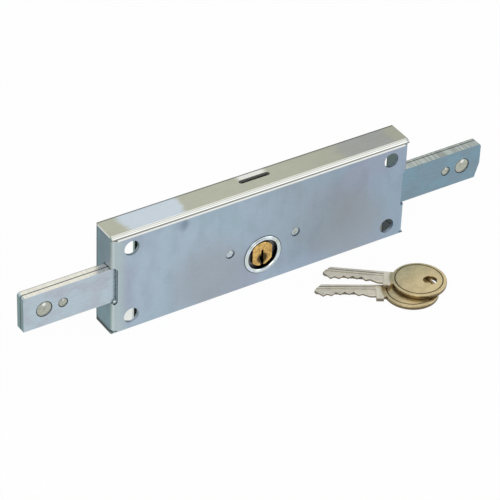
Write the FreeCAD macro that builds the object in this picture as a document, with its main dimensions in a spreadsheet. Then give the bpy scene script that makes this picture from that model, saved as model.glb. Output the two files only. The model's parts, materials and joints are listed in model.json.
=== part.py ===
"""Double-bolt garage door lock with its pair of keys, as a parametric document.

Millimetres. X runs along the lock, Y from the front face to the rear, Z up.
The origin is the centre of the four fixing holes, on the front face of the case.
Both bolts are thrown at rest, and the two keys lie in front of the case.
"""
import FreeCAD, Part
import math
import os
import re
import Sketcher

doc = FreeCAD.newDocument("garage_door_lock")

SIZES = (
    ("case_length", 155.0, "case, along X"),
    ("case_height", 52.5, "case, along Z"),
    ("case_depth", 14.25, "case, from the front face to the rims of its flanges"),
    ("case_sheet", 1.5, "steel sheet of the case"),
    ("bend_radius", 2.3, "outside radius of the folds of the case"),
    ("flange_gap", 0.25, "between the end flanges or the rear plates and the long flanges"),
    ("relief_height", 0.7, "notch that frees the fold at each corner"),
    ("fixing_span_x", 136.0, "between the fixing holes, along X"),
    ("fixing_span_z", 36.5, "between the fixing holes, along Z"),
    ("fixing_hole", 7.5, "fixing hole diameter"),
    ("bolt_window_reach", 2.5, "how far a bolt window runs into the front face"),
    ("window_corner", 0.7, "cut corner of a bolt window"),
    ("top_slot_length", 16.0, "slot in the top flange"),
    ("top_slot_width", 2.5, "slot in the top flange"),
    ("top_slot_to_rim", 4.75, "from the slot's middle to the rear rim"),
    ("bolt_height", 18.0, "both bolts"),
    ("bolt_thickness", 5.6, "two plates riveted together"),
    ("left_front_plate", 2.6, "front plate of the left bolt"),
    ("right_front_plate", 4.0, "front plate of the right bolt"),
    ("bolt_throw", 43.0, "how far a thrown bolt stands out of the case"),
    ("bolt_gap", 0.3, "between the bolts and the sheet or plate beside them"),
    ("window_gap", 0.4, "between a bolt and its window"),
    ("bolt_corner", 1.4, "rounding of the upper outer corner of a bolt"),
    ("bolt_nose_length", 2.4, "slanted lower corner of the right bolt, along X"),
    ("bolt_nose_height", 7.5, "slanted lower corner of the right bolt, along Z"),
    ("big_rivet", 7.8, "hard pin near the end of a bolt, diameter"),
    ("big_rivet_from_end", 10.2, "its centre from the end of the bolt"),
    ("small_rivet", 4.6, "second rivet of a bolt, diameter"),
    ("small_rivet_from_end", 19.5, "its centre from the end of the bolt"),
    ("inner_rivet_from_case", 14.0, "third rivet of a bolt, from the end of the case inwards"),
    ("inner_rivet_drop", 3.0, "third rivet of a bolt, below its middle"),
    ("rivet_rim", 0.3, "broken rim of a rivet"),
    ("rivet_gap", 0.05, "round a rivet"),
    ("rivet_sink", 0.15, "of a rivet below the face of its bolt"),
    ("centre_dot", 0.9, "dimple in the big rivet, diameter"),
    ("cylinder_drop", 9.8, "axis of the cylinder below the middle of the case"),
    ("plug_diameter", 12.4, "plug of the cylinder"),
    ("nose_width", 10.2, "across the flats of the plug's nose"),
    ("nose_sink", 0.3, "of the nose behind the front face"),
    ("running_gap", 0.05, "radial, of turning fits"),
    ("side_gap", 0.1, "endwise, between neighbours on an axle"),
    ("barrel_wall", 2.6, "housing round the plug"),
    ("barrel_length", 22.4, "housing, along Y"),
    ("tower_width", 9.0, "pin tower above the barrel"),
    ("tower_height", 6.4, "pin tower, above the bore"),
    ("tower_corner", 1.5, "rounding along the top of the pin tower"),
    ("flange_thickness", 2.5, "fixing flange of the housing"),
    ("flange_margin", 4.5, "flange round its screws"),
    ("flange_corner", 4.4, "corner radius of the flange"),
    ("flange_below", 9.75, "flange below the axis of the cylinder"),
    ("plug_tail", 2.0, "plug behind the housing"),
    ("clip_thickness", 0.8, "retaining clip of the plug"),
    ("clip_width", 2.4, "retaining clip, radially"),
    ("clip_depth", 0.6, "groove of the clip in the plug"),
    ("clip_gap", 0.05, "between the clip and its groove"),
    ("pin_pitch", 4.0, "between the pins"),
    ("first_pin", 6.0, "first pin, from the face of the nose"),
    ("pin_diameter", 2.9, "pins of the cylinder"),
    ("pin_rim", 0.2, "broken rim of a pin"),
    ("pin_point", 0.4, "radius of the flat point of a key pin"),
    ("pin_cone", 0.9, "cone of a key pin, along it"),
    ("chamber_floor", 1.6, "pin chambers in the plug, below its axis"),
    ("driver_length", 2.2, "driver pins"),
    ("stopper_length", 1.2, "brass stoppers of the pin chambers"),
    ("spring_wire", 0.35, "wire of the pin springs"),
    ("collar_diameter", 19.2, "collar round the keyhole"),
    ("collar_bore", 14.8, "collar round the keyhole"),
    ("collar_tube", 16.2, "neck of the collar through the sheet"),
    ("collar_height", 0.7, "collar above the front face"),
    ("collar_step", 0.6, "rounded step along the collar"),
    ("collar_neck_reach", 0.35, "neck of the collar behind the sheet"),
    ("gear_module", 0.8, "all teeth"),
    ("pressure_angle", 20.0, "all teeth, in degrees"),
    ("tooth_head", 0.7, "tooth outside the pitch line, in modules"),
    ("tooth_foot", 0.95, "tooth inside the pitch line, in modules"),
    ("backlash", 0.1, "between the flanks of a mesh"),
    ("plug_teeth", 26, "gear on the plug"),
    ("idler_teeth", 26, "gear that it turns"),
    ("pinion_teeth", 12, "pinion between the two racks"),
    ("gear_thickness", 2.2, "both gears"),
    ("gear_to_sheet", 0.5, "between the gears and the front sheet"),
    ("axle_diameter", 3.5, "axle of the idler"),
    ("axle_tenon", 3.0, "end of the axle in the guide plate"),
    ("rack_back", 2.2, "rack behind its teeth"),
    ("rack_reach", 4.0, "rack past the pinion's axis, bolts thrown"),
    ("riser_width", 7.0, "arm that lifts the upper rack off the left bolt"),
    ("clear_pass", 0.7, "between parts that pass each other"),
    ("pillar_span", 34.6, "between the two pillars"),
    ("pillar_drop", 3.65, "pillars below the middle of the case"),
    ("pillar_diameter", 5.5, "pillars"),
    ("pillar_tenon", 4.4, "riveted end of a pillar in the front sheet"),
    ("tenon_sink", 0.25, "of the riveted end below the front face"),
    ("plate_sheet", 1.5, "guide plate and back cover"),
    ("plate_length", 118.4, "guide plate and back cover, along X"),
    ("guide_pin", 4.0, "guide pins above and below the bolts"),
    ("guide_pin_inset", 2.7, "guide pins from the end of the plates"),
    ("guide_pin_gap", 0.1, "between a guide pin and its bolt"),
    ("pin_tenon", 2.5, "end of a guide pin in the guide plate"),
    ("post_inset_x", 7.2, "spacer posts from the ends of the plates"),
    ("post_inset_z", 4.75, "spacer posts from the inside of the long flanges"),
    ("post_diameter", 6.0, "spacer posts"),
    ("post_tenon", 4.0, "end of a spacer post in the guide plate"),
    ("window_margin", 0.3, "round the cylinder housing and the pillars in the plates"),
    ("screw_big", 4.0, "screws of the cylinder flange"),
    ("screw_small", 3.0, "screws of the back cover"),
    ("thread_gap", 0.05, "radial, round a screw in its thread"),
    ("screw_hole_gap", 0.2, "radial, round a screw in a plain hole"),
    ("screw_reach", 6.0, "of a flange screw into its pillar"),
    ("cover_screw_reach", 3.0, "of a cover screw into its post"),
    ("thread_spare", 0.5, "thread past the end of a screw"),
    ("big_screw_head", 7.0, "head diameter of the flange screws"),
    ("small_screw_head", 5.5, "head diameter of the cover screws"),
    ("big_screw_height", 2.6, "heads of the flange screws"),
    ("small_screw_height", 2.0, "heads of the cover screws"),
    ("slot_depth", 1.1, "driving slot of a screw"),
    ("slot_width", 1.0, "driving slot of a screw"),
    ("guide_notch_side", 10.0, "notch of the guide plate under the top slot, half its length"),
    ("guide_notch_depth", 4.0, "notch of the guide plate under the top slot"),
    ("key_bow", 25.2, "bow of a key, diameter"),
    ("key_thickness", 2.0, "key blank"),
    ("blade_height", 8.0, "key blade"),
    ("blade_above", 3.7, "straight edge of the blade, from the axis of the key"),
    ("key_hole", 6.4, "hole in the bow"),
    ("key_hole_offset", 4.9, "hole in the bow, from its middle"),
    ("tip_slope", 3.2, "slanted tip of the key, along its straight edge"),
    ("tip_drop", 0.2, "point of the tip, from the axis of the key"),
    ("tip_crest", 3.8, "first crest of the cut edge, from the tip"),
    ("tip_crest_depth", 0.3, "first crest of the cut edge, below the full blade"),
    ("cut_one", 1.7, "cut next to the stop, depth"),
    ("cut_two", 3.1, "second cut"),
    ("cut_three", 3.2, "third cut"),
    ("cut_four", 2.8, "fourth cut"),
    ("cut_five", 1.7, "cut next to the tip"),
    ("crest_rise", 1.5, "crest between two cuts, above their mean"),
    ("cut_ramp", 2.6, "first cut's ramp, from the stop"),
    ("tip_past_pin", 5.6, "tip of the key past its last cut"),
    ("stop_length", 3.4, "shoulder that stops the key, along it"),
    ("stop_from_bow", 0.1, "shoulder that stops the key, from the bow"),
    ("stop_depth", 1.9, "shoulder below the blade"),
    ("neck_depth", 4.6, "neck between the stop and the bow, from the axis of the key"),
    ("bow_edge", 0.3, "chamfer of the bow"),
    ("blade_rest", 0.35, "straight edge of the blade above the bore, key in"),
    ("keyway_gap", 0.1, "round the blade in its keyway"),
    ("rib_up_depth", 0.3, "milled off the cut half of the upper face"),
    ("rib_down_depth", 0.7, "milled off the cut side of the lower face"),
    ("spine_down_depth", 0.5, "milled off the straight side of the lower face"),
    ("rib_low", 0.7, "straight side's step, from the axis of the key"),
    ("rib_high", 1.3, "cut side's step, from the axis of the key"),
    ("groove_middle", 2.1, "long groove, from the axis of the key"),
    ("groove_width", 0.5, "long groove of the blade"),
    ("groove_depth", 0.2, "long groove of the blade"),
    ("blade_shift", 0.25, "blade's mid-plane left of the plug's axis, key in"),
    ("upper_key_x", 60.9, "middle of the upper key's bow"),
    ("upper_key_y", -36.95, "middle of the upper key's bow"),
    ("upper_key_angle", 37.8, "upper key, degrees clockwise from above"),
    ("lower_key_x", 54.8, "middle of the lower key's bow"),
    ("lower_key_y", -39.6, "middle of the lower key's bow"),
    ("lower_key_angle", 30.3, "lower key, degrees clockwise from above"),
    ("key_gap", 0.02, "between the two keys"),
    ("cut_over", 0.3, "how far a cut runs past an edge that it opens"),
)

WORKED = (
    ("case_end", "case_length / 2"),
    ("case_top", "case_height / 2"),
    ("flange_face", "case_top - case_sheet"),
    ("flange_end", "flange_face - flange_gap"),
    ("relief_low", "flange_face - relief_height"),
    ("fold_start", "case_end - bend_radius"),
    ("end_inner", "case_end - case_sheet"),
    ("inner_fold", "bend_radius - case_sheet"),
    ("window_edge", "case_end - bolt_window_reach"),
    ("fixing_x", "fixing_span_x / 2"),
    ("fixing_z", "fixing_span_z / 2"),
    ("top_slot_side", "(top_slot_length - top_slot_width) / 2"),
    ("top_slot_front", "case_depth - top_slot_to_rim - top_slot_width / 2"),
    ("top_slot_rear", "top_slot_front + top_slot_width"),
    ("collar_radius", "collar_diameter / 2"),
    ("collar_bore_radius", "collar_bore / 2"),
    ("collar_neck_radius", "collar_tube / 2"),
    ("collar_neck_end", "case_sheet + collar_neck_reach"),
    ("axis_z", "0 - cylinder_drop"),
    ("bolt_top", "bolt_height / 2"),
    ("window_top", "bolt_top + window_gap"),
    ("window_flat", "window_top - window_corner"),
    ("window_round", "window_edge + window_corner"),
    ("bolt_front", "case_sheet + bolt_gap"),
    ("bolt_rear", "bolt_front + bolt_thickness"),
    ("window_rear", "bolt_rear + window_gap"),
    ("left_joint", "bolt_front + left_front_plate"),
    ("right_joint", "bolt_front + right_front_plate"),
    ("guide_front", "bolt_rear + bolt_gap"),
    ("guide_rear", "guide_front + plate_sheet"),
    ("cover_rear", "case_depth"),
    ("cover_front", "cover_rear - plate_sheet"),
    ("plate_end", "plate_length / 2"),
    ("bolt_end", "case_end + bolt_throw"),
    ("big_rivet_x", "bolt_end - big_rivet_from_end"),
    ("small_rivet_x", "bolt_end - small_rivet_from_end"),
    ("inner_rivet_x", "case_end - inner_rivet_from_case"),
    ("big_rivet_radius", "big_rivet / 2"),
    ("big_rivet_flat", "big_rivet_radius - rivet_rim"),
    ("small_rivet_radius", "small_rivet / 2"),
    ("small_rivet_flat", "small_rivet_radius - rivet_rim"),
    ("dot_radius", "centre_dot / 2"),
    ("rivet_front", "bolt_front + rivet_sink"),
    ("rivet_rear", "bolt_rear - rivet_sink"),
    ("nose_start", "bolt_end - bolt_nose_length"),
    ("nose_top", "bolt_nose_height - bolt_top"),
    ("plug_radius", "plug_diameter / 2"),
    ("bore_radius", "plug_radius + running_gap"),
    ("barrel_radius", "bore_radius + barrel_wall"),
    ("tower_side", "tower_width / 2"),
    ("tower_top", "bore_radius + tower_height"),
    ("nose_side", "nose_width / 2"),
    ("gear_front", "case_sheet + gear_to_sheet"),
    ("gear_rear", "gear_front + gear_thickness"),
    ("plug_shoulder", "gear_rear + running_gap"),
    ("housing_front", "gear_rear + side_gap"),
    ("housing_rear", "housing_front + barrel_length"),
    ("clip_front", "housing_rear + side_gap"),
    ("clip_rear", "clip_front + clip_thickness"),
    ("clip_seat", "plug_radius - clip_depth"),
    ("clip_inner", "clip_seat + clip_gap"),
    ("clip_radius", "clip_seat + clip_width"),
    ("clip_groove_front", "clip_front - clip_gap"),
    ("clip_groove_rear", "clip_rear + clip_gap"),
    ("plug_end", "housing_rear + plug_tail"),
    ("flange_rear", "cover_rear + flange_thickness"),
    ("flange_side", "pillar_x + flange_margin"),
    ("flange_top", "pillar_above + flange_margin"),
    ("first_pin_y", "nose_sink + first_pin"),
    ("pin_radius", "pin_diameter / 2"),
    ("chamber_radius", "pin_radius + running_gap"),
    ("key_pin_top", "sqrt(plug_radius ^ 2 - pin_radius ^ 2)"),
    ("driver_low", "bore_radius + running_gap"),
    ("driver_top", "driver_low + driver_length"),
    ("stopper_low", "tower_top - stopper_length"),
    ("spring_low", "driver_top + running_gap"),
    ("spring_top", "stopper_low - running_gap"),
    ("pitch_length", "pi * gear_module"),
    ("plug_gear_radius", "gear_module * plug_teeth / 2"),
    ("idler_radius", "gear_module * idler_teeth / 2"),
    ("pinion_radius", "gear_module * pinion_teeth / 2"),
    ("tooth_out", "gear_module * tooth_head"),
    ("tooth_in", "gear_module * tooth_foot"),
    ("travel", "2 * pi * pinion_radius * plug_teeth / idler_teeth"),
    ("idler_z", "plug_gear_radius + idler_radius - cylinder_drop"),
    ("pinion_rear", "guide_front - 2 * side_gap"),
    ("axle_front", "case_sheet + 2 * side_gap"),
    ("rack_gaps", "round(travel / pitch_length) + 4"),
    ("upper_pitch_z", "idler_z + pinion_radius"),
    ("lower_pitch_z", "idler_z - pinion_radius"),
    ("upper_tip_z", "upper_pitch_z - tooth_out"),
    ("upper_root_z", "upper_pitch_z + tooth_in"),
    ("upper_back_z", "upper_root_z + rack_back"),
    ("lower_tip_z", "lower_pitch_z + tooth_out"),
    ("lower_root_z", "lower_pitch_z - tooth_in"),
    ("lower_back_z", "lower_root_z - rack_back"),
    ("pillar_x", "pillar_span / 2"),
    ("pillar_above", "cylinder_drop - pillar_drop"),
    ("pillar_radius", "pillar_diameter / 2"),
    ("tenon_radius", "pillar_tenon / 2"),
    ("tenon_flat", "tenon_radius - rivet_rim"),
    ("big_screw", "screw_big / 2"),
    ("small_screw", "screw_small / 2"),
    ("big_thread", "big_screw + thread_gap"),
    ("small_thread", "small_screw + thread_gap"),
    ("big_screw_hole", "screw_big + 2 * screw_hole_gap"),
    ("small_screw_hole", "screw_small + 2 * screw_hole_gap"),
    ("pillar_thread_end", "cover_front - screw_reach - thread_spare"),
    ("post_thread_end", "cover_front - cover_screw_reach - thread_spare"),
    ("slot_side", "slot_width / 2"),
    ("bolt_inner", "pillar_x + pillar_radius + clear_pass + travel"),
    ("notch_end", "rack_reach + 2 * travel + clear_pass"),
    ("notch_top", "lower_tip_z + clear_pass / 2"),
    ("notch_low", "lower_back_z - clear_pass / 2"),
    ("guide_pin_x", "plate_end - guide_pin_inset"),
    ("guide_pin_radius", "guide_pin / 2"),
    ("guide_pin_z", "bolt_top + guide_pin_gap + guide_pin_radius"),
    ("riser_outer", "guide_pin_x - guide_pin_radius - clear_pass"),
    ("riser_inner", "riser_outer - riser_width"),
    ("post_x", "plate_end - post_inset_x"),
    ("post_z", "flange_face - post_inset_z"),
    ("post_radius", "post_diameter / 2"),
    ("post_tenon_radius", "post_tenon / 2"),
    ("pin_tenon_radius", "pin_tenon / 2"),
    ("window_radius", "barrel_radius + window_margin"),
    ("tower_window_side", "tower_side + window_margin"),
    ("tower_window_top", "axis_z + tower_top + window_margin"),
    ("bow_radius", "key_bow / 2"),
    ("blade_below", "blade_height - blade_above"),
    ("stop_rear", "bow_radius + stop_from_bow"),
    ("stop_front", "stop_rear + stop_length"),
    ("key_reach", "stop_front + first_pin + 4 * pin_pitch + tip_past_pin"),
    ("stop_low", "blade_below + stop_depth"),
    ("key_face", "key_thickness / 2"),
    ("key_drop", "bore_radius - blade_rest - blade_above"),
    ("blade_top", "blade_below - key_drop"),
    ("keyway_top", "blade_top + 2 * keyway_gap"),
    ("keyway_right", "key_face - blade_shift + keyway_gap"),
    ("keyway_left", "key_face + blade_shift + keyway_gap"),
    ("keyway_step", "rib_low + key_drop"),
    ("keyway_bend", "key_drop - rib_high"),
    ("floor_z", "0 - case_top"),
    ("upper_key_z", "floor_z + key_thickness + key_gap"),
)


def fill_sheet(name, rows, prefix):
    """A sheet whose alias column B holds one value or formula per row."""
    sheet = doc.addObject("Spreadsheet::Sheet", name)
    for row, (alias, content, *note) in enumerate(rows, start=1):
        sheet.set("A%d" % row, note[0] if note else alias)
        sheet.set("B%d" % row, prefix + str(content))
        sheet.setAlias("B%d" % row, alias)
    return sheet


OWNER = {row[0]: "Sizes." for row in SIZES}


def named(text):
    """The same sum or product with every name pointing at its sheet."""
    return re.sub(r"[a-z_]+", lambda word: OWNER.get(word.group(), "") + word.group(), text)


fill_sheet("Sizes", SIZES, "")
fill_sheet("Worked", [(alias, named(formula)) for alias, formula in WORKED], "=")
OWNER.update({row[0]: "Worked." for row in WORKED})
doc.recompute()
VALUES = {row[0]: float(doc.Sizes.get(row[0])) for row in SIZES}
VALUES.update({row[0]: float(doc.Worked.get(row[0])) for row in WORKED})


def value(word):
    """The value of one name or number, which may carry a minus sign."""
    bare = word.lstrip("-")
    size = VALUES[bare] if bare in VALUES else float(bare)
    return -size if word.startswith("-") else size


def number(text):
    """The value of a sum of products such as 'case_end - 2 * case_sheet'."""
    total = 0.0
    term = 0.0
    operation = "+"
    for word in text.split():
        if word in ("+", "-", "*", "/"):
            operation = word
        elif operation == "*":
            term *= value(word)
        elif operation == "/":
            term /= value(word)
        else:
            total += term
            term = value(word) if operation == "+" else -value(word)
    return total + term


def bind(thing, prop, text):
    thing.setExpression(prop, named(text))


PIECES = []


def keep(thing, label):
    """Marks a finished object as a sub-part, whose label names its file."""
    thing.Label = label
    PIECES.append(thing)
    return thing


def new_body(label):
    return keep(doc.addObject("PartDesign::Body", label), label)


def origin_feature(body, role):
    return next(item for item in body.Origin.OriginFeatures if item.Role == role)


def sketch(body, plane, distance="0"):
    """A sketch on an origin plane of the body, at a distance along that plane's own axis.

    On XZ_Plane the distance is Y, and the sketch looks along +Y.
    """
    drawing = body.newObject("Sketcher::SketchObject", body.Label + "_sketch")
    drawing.AttachmentSupport = [(origin_feature(body, plane), "")]
    drawing.MapMode = "FlatFace"
    sign = "-" if plane == "XZ_Plane" else ""
    bind(drawing, ".AttachmentOffset.Base.z", sign + "(" + distance + ")")
    return drawing


def place_point(drawing, item, corner, across, up):
    """Ties a point of the sketch to the origin by two distances or by an axis."""
    for kind, axis, text in (("DistanceX", -2, across), ("DistanceY", -1, up)):
        if text == "0":
            drawing.addConstraint(Sketcher.Constraint("PointOnObject", item, corner, axis))
            continue
        rule = Sketcher.Constraint(kind, -1, 1, item, corner, number(text))
        index = drawing.addConstraint(rule)
        bind(drawing, "Constraints[%d]" % index, text)


def polygon(drawing, corners):
    """A closed outline of straight lines through corners given as pairs of sums."""
    points = [FreeCAD.Vector(number(across), number(up), 0) for across, up in corners]
    lines = []
    for start, end in zip(points, points[1:] + points[:1]):
        lines.append(drawing.addGeometry(Part.LineSegment(start, end), False))
    for line, following in zip(lines, lines[1:] + lines[:1]):
        drawing.addConstraint(Sketcher.Constraint("Coincident", line, 2, following, 1))
    for line, (across, up) in zip(lines, corners):
        place_point(drawing, line, 1, across, up)


def rectangle(drawing, left, right, low, high):
    polygon(drawing, ((left, low), (right, low), (right, high), (left, high)))


def circle(drawing, across, up, diameter):
    centre = FreeCAD.Vector(number(across), number(up), 0)
    normal = FreeCAD.Vector(0, 0, 1)
    ring = drawing.addGeometry(Part.Circle(centre, normal, number(diameter) / 2), False)
    place_point(drawing, ring, 3, across, up)
    index = drawing.addConstraint(Sketcher.Constraint("Diameter", ring, number(diameter)))
    bind(drawing, "Constraints[%d]" % index, diameter)


def oblong(drawing, left, right, low, high):
    """A slot along the sketch's horizontal whose rounded ends are centred on left and right."""
    corners = ((left, low), (right, low), (right, high), (left, high))
    points = [FreeCAD.Vector(number(across), number(up), 0) for across, up in corners]
    radius = (number(high) - number(low)) / 2
    normal = FreeCAD.Vector(0, 0, 1)
    lower = drawing.addGeometry(Part.LineSegment(points[0], points[1]), False)
    upper = drawing.addGeometry(Part.LineSegment(points[2], points[3]), False)
    for line, corner, (across, up) in zip((lower, lower, upper, upper), (1, 2, 1, 2), corners):
        place_point(drawing, line, corner, across, up)
    for line, following, across, turn in ((lower, upper, right, -0.5), (upper, lower, left, 0.5)):
        centre = FreeCAD.Vector(number(across), number(low) + radius, 0)
        round_end = Part.Circle(centre, normal, radius)
        arc = Part.ArcOfCircle(round_end, turn * math.pi, (turn + 1) * math.pi)
        arc = drawing.addGeometry(arc, False)
        drawing.addConstraint(Sketcher.Constraint("Coincident", line, 2, arc, 1))
        drawing.addConstraint(Sketcher.Constraint("Coincident", arc, 2, following, 1))
        rule = Sketcher.Constraint("DistanceX", -1, 1, arc, 3, number(across))
        bind(drawing, "Constraints[%d]" % drawing.addConstraint(rule), across)


def pad(body, drawing, length, symmetric=False):
    """Adds the outline's extrusion; on XZ_Plane it grows rearwards."""
    feature = body.newObject("PartDesign::Pad", body.Label + "_pad")
    feature.Profile = drawing
    feature.Midplane = symmetric
    feature.Reversed = not symmetric and drawing.AttachmentSupport[0][0].Role == "XZ_Plane"
    bind(feature, "Length", length)
    doc.recompute()
    return feature


def pocket(body, drawing, length, reverse=False):
    """Cuts the outline for a length, on XZ_Plane rearwards."""
    before = body.Shape.Volume
    feature = body.newObject("PartDesign::Pocket", body.Label + "_pocket")
    feature.Profile = drawing
    feature.Reversed = reverse
    bind(feature, "Length", length)
    doc.recompute()
    if not body.Shape.Volume < before - 1e-6:
        raise RuntimeError(feature.Name + " cuts nothing")
    return feature


def turned(label, profile):
    """A piece turned about Y: corners are (radius, y), and the axis is the body's own Y axis."""
    body = new_body(label)
    drawing = sketch(body, "XY_Plane")
    polygon(drawing, profile)
    feature = body.newObject("PartDesign::Revolution", label + "_turn")
    feature.Profile = drawing
    feature.ReferenceAxis = (origin_feature(body, "Y_Axis"), [""])
    feature.Angle = 360
    doc.recompute()
    return body


def put(thing, across="0", depth="0", up="0"):
    """Places a piece, or leaves it where it was drawn along an axis given as 0."""
    for axis, text in (("x", across), ("y", depth), ("z", up)):
        if text != "0":
            bind(thing, ".Placement.Base." + axis, text)


def repeated(label, original, offsets):
    """Separate solids in one node: the original and its copies, each moved by an offset."""
    PIECES.remove(original)
    original.Label = label + "_first"
    copies = [original]
    for across, depth, up in offsets:
        copy = doc.addObject("App::Link", label + "_copy")
        copy.LinkedObject = original
        copy.LinkTransform = True
        put(copy, across, depth, up)
        copies.append(copy)
    group = doc.addObject("Part::Compound", label)
    group.Links = copies
    return keep(group, label)


def edges_at(body, along, test):
    """Names of the body's straight edges along one axis whose two ends pass a test."""
    names = []
    for index, edge in enumerate(body.Shape.Edges, start=1):
        if edge.Curve.TypeId != "Part::GeomLine":
            continue
        start, end = (vertex.Point for vertex in edge.Vertexes)
        parallel = abs(abs(getattr(end - start, along)) - edge.Length) < 1e-6
        if parallel and test(start) and test(end):
            names.append("Edge%d" % index)
    return names


def near(measure, *texts):
    return any(abs(measure - number(text)) < 1e-4 for text in texts)


def round_edges(body, radius, along, test):
    names = edges_at(body, along, test)
    if not names:
        raise RuntimeError(body.Label + " has no edge to round")
    base = body.Tip
    feature = body.newObject("PartDesign::Fillet", body.Label + "_fillet")
    feature.Base = (base, names)
    bind(feature, "Radius", radius)
    doc.recompute()
    return feature


def copies_about(body, feature, axis, count):
    pattern = body.newObject("PartDesign::PolarPattern", body.Label + "_pattern")
    pattern.Originals = [feature]
    pattern.Axis = (origin_feature(body, axis), [""])
    pattern.Angle = 360
    bind(pattern, "Occurrences", count)
    body.Tip = pattern
    doc.recompute()
    return pattern


SIDES = ("-", "")
CORNERS = (("", ""), ("-", ""), ("-", "-"), ("", "-"))


def past(side, edge):
    """A line a little farther out than an edge, on the side given by its sign."""
    return side + edge + (" - " if side else " + ") + "cut_over"


# Case: one folded sheet, open at the rear.

def case_shell():
    body = new_body("case_shell")
    channel = sketch(body, "YZ_Plane")
    polygon(channel, (
        ("0", "-case_top"), ("case_depth", "-case_top"), ("case_depth", "-flange_face"),
        ("case_sheet", "-flange_face"), ("case_sheet", "flange_face"),
        ("case_depth", "flange_face"), ("case_depth", "case_top"), ("0", "case_top")))
    pad(body, channel, "case_length", symmetric=True)
    round_edges(body, "bend_radius", "x",
                lambda end: near(end.y, "0") and near(abs(end.z), "case_top"))
    round_edges(body, "inner_fold", "x",
                lambda end: near(end.y, "case_sheet") and near(abs(end.z), "flange_face"))
    for side in SIDES:
        ends = sketch(body, "XZ_Plane")
        rectangle(ends, side + "fold_start", past(side, "case_end"), "-flange_face", "flange_face")
        pocket(body, ends, "bend_radius")
    for side in SIDES:
        flange = sketch(body, "XY_Plane")
        polygon(flange, (
            (side + "fold_start", "0"), (side + "case_end", "0"), (side + "case_end", "case_depth"),
            (side + "end_inner", "case_depth"), (side + "end_inner", "case_sheet"),
            (side + "fold_start", "case_sheet")))
        pad(body, flange, "2 * flange_end", symmetric=True)
    round_edges(body, "bend_radius", "z",
                lambda end: near(end.y, "0") and near(abs(end.x), "case_end"))
    round_edges(body, "inner_fold", "z",
                lambda end: near(end.y, "case_sheet") and near(abs(end.x), "end_inner"))
    reliefs = sketch(body, "XZ_Plane")
    for across, up in CORNERS:
        rectangle(reliefs, across + "fold_start", past(across, "case_end"), up + "relief_low",
                  up + "flange_face")
    pocket(body, reliefs, "bend_radius")
    for side in SIDES:
        window = sketch(body, "XZ_Plane")
        outside = past(side, "case_end")
        polygon(window, (
            (side + "window_edge", "-window_flat"), (side + "window_round", "-window_top"),
            (outside, "-window_top"), (outside, "window_top"),
            (side + "window_round", "window_top"), (side + "window_edge", "window_flat")))
        pocket(body, window, "window_rear")
    holes = sketch(body, "XZ_Plane")
    for across, up in CORNERS:
        circle(holes, across + "fixing_x", up + "fixing_z", "fixing_hole")
    for side in SIDES:
        circle(holes, side + "pillar_x", "-pillar_drop", "pillar_tenon + rivet_gap + rivet_gap")
    circle(holes, "0", "-cylinder_drop", "collar_tube + rivet_gap + rivet_gap")
    pocket(body, holes, "case_sheet")
    slot = sketch(body, "XY_Plane", "flange_face")
    oblong(slot, "-top_slot_side", "top_slot_side", "top_slot_front", "top_slot_rear")
    pocket(body, slot, "case_sheet", reverse=True)


def collar():
    body = turned("collar", (
        ("collar_bore_radius", "-collar_height"), ("collar_radius - collar_step", "-collar_height"),
        ("collar_radius - collar_step", "-collar_step"), ("collar_radius", "-collar_step"),
        ("collar_radius", "0"), ("collar_neck_radius", "0"),
        ("collar_neck_radius", "collar_neck_end"), ("collar_bore_radius", "collar_neck_end")))
    put(body, up="axis_z")


# Bolts: each is a front and a rear plate joined by three flush rivets.

def bolt_plate(label, side, start, thickness, corners):
    """A bolt's plate with its rounded upper corner and its three rivet holes."""
    body = new_body(label)
    face = sketch(body, "XZ_Plane", start)
    polygon(face, corners)
    pad(body, face, thickness)
    round_edges(body, "bolt_corner", "y",
                lambda end: near(abs(end.x), "bolt_end") and near(end.z, "bolt_top"))
    holes = sketch(body, "XZ_Plane", start)
    circle(holes, side + "big_rivet_x", "0", "big_rivet + 2 * rivet_gap")
    circle(holes, side + "small_rivet_x", "0", "small_rivet + 2 * rivet_gap")
    circle(holes, side + "inner_rivet_x", "-inner_rivet_drop", "small_rivet + 2 * rivet_gap")
    pocket(body, holes, thickness)
    return body


def left_bolt():
    """Its rear plate carries the upper rack on an arm, over the end of the lower one."""
    bolt_plate("left_bolt_front_plate", "-", "bolt_front", "left_front_plate", (
        ("-bolt_end", "-bolt_top"), ("-bolt_inner", "-bolt_top"), ("-bolt_inner", "bolt_top"),
        ("-bolt_end", "bolt_top")))
    thickness = "bolt_thickness - left_front_plate"
    rear = bolt_plate("left_bolt_rack_plate", "-", "left_joint", thickness, (
        ("-bolt_end", "-bolt_top"), ("-bolt_inner", "-bolt_top"), ("-bolt_inner", "notch_low"),
        ("-notch_end", "notch_low"), ("-notch_end", "notch_top"), ("-riser_inner", "notch_top"),
        ("-riser_inner", "upper_tip_z"), ("rack_reach", "upper_tip_z"),
        ("rack_reach", "upper_back_z"), ("-riser_outer", "upper_back_z"),
        ("-riser_outer", "bolt_top"), ("-bolt_end", "bolt_top")))
    cut_rack(rear, "left_joint", thickness, "upper_pitch_z", 1)


def right_bolt():
    """Slanted at the lower outer corner; its rear plate carries the lower rack."""
    outer = (("nose_start", "-bolt_top"), ("bolt_end", "nose_top"), ("bolt_end", "bolt_top"))
    bolt_plate("right_bolt_front_plate", "", "bolt_front", "right_front_plate", (
        ("bolt_inner", "-bolt_top"), *outer, ("bolt_inner", "bolt_top")))
    thickness = "bolt_thickness - right_front_plate"
    rear = bolt_plate("right_bolt_rack_plate", "", "right_joint", thickness, (
        ("bolt_inner", "-bolt_top"), *outer, ("bolt_inner", "bolt_top"),
        ("bolt_inner", "lower_tip_z"), ("-rack_reach", "lower_tip_z"),
        ("-rack_reach", "lower_back_z"), ("bolt_inner", "lower_back_z")))
    cut_rack(rear, "right_joint", thickness, "lower_pitch_z", -1)


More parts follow.
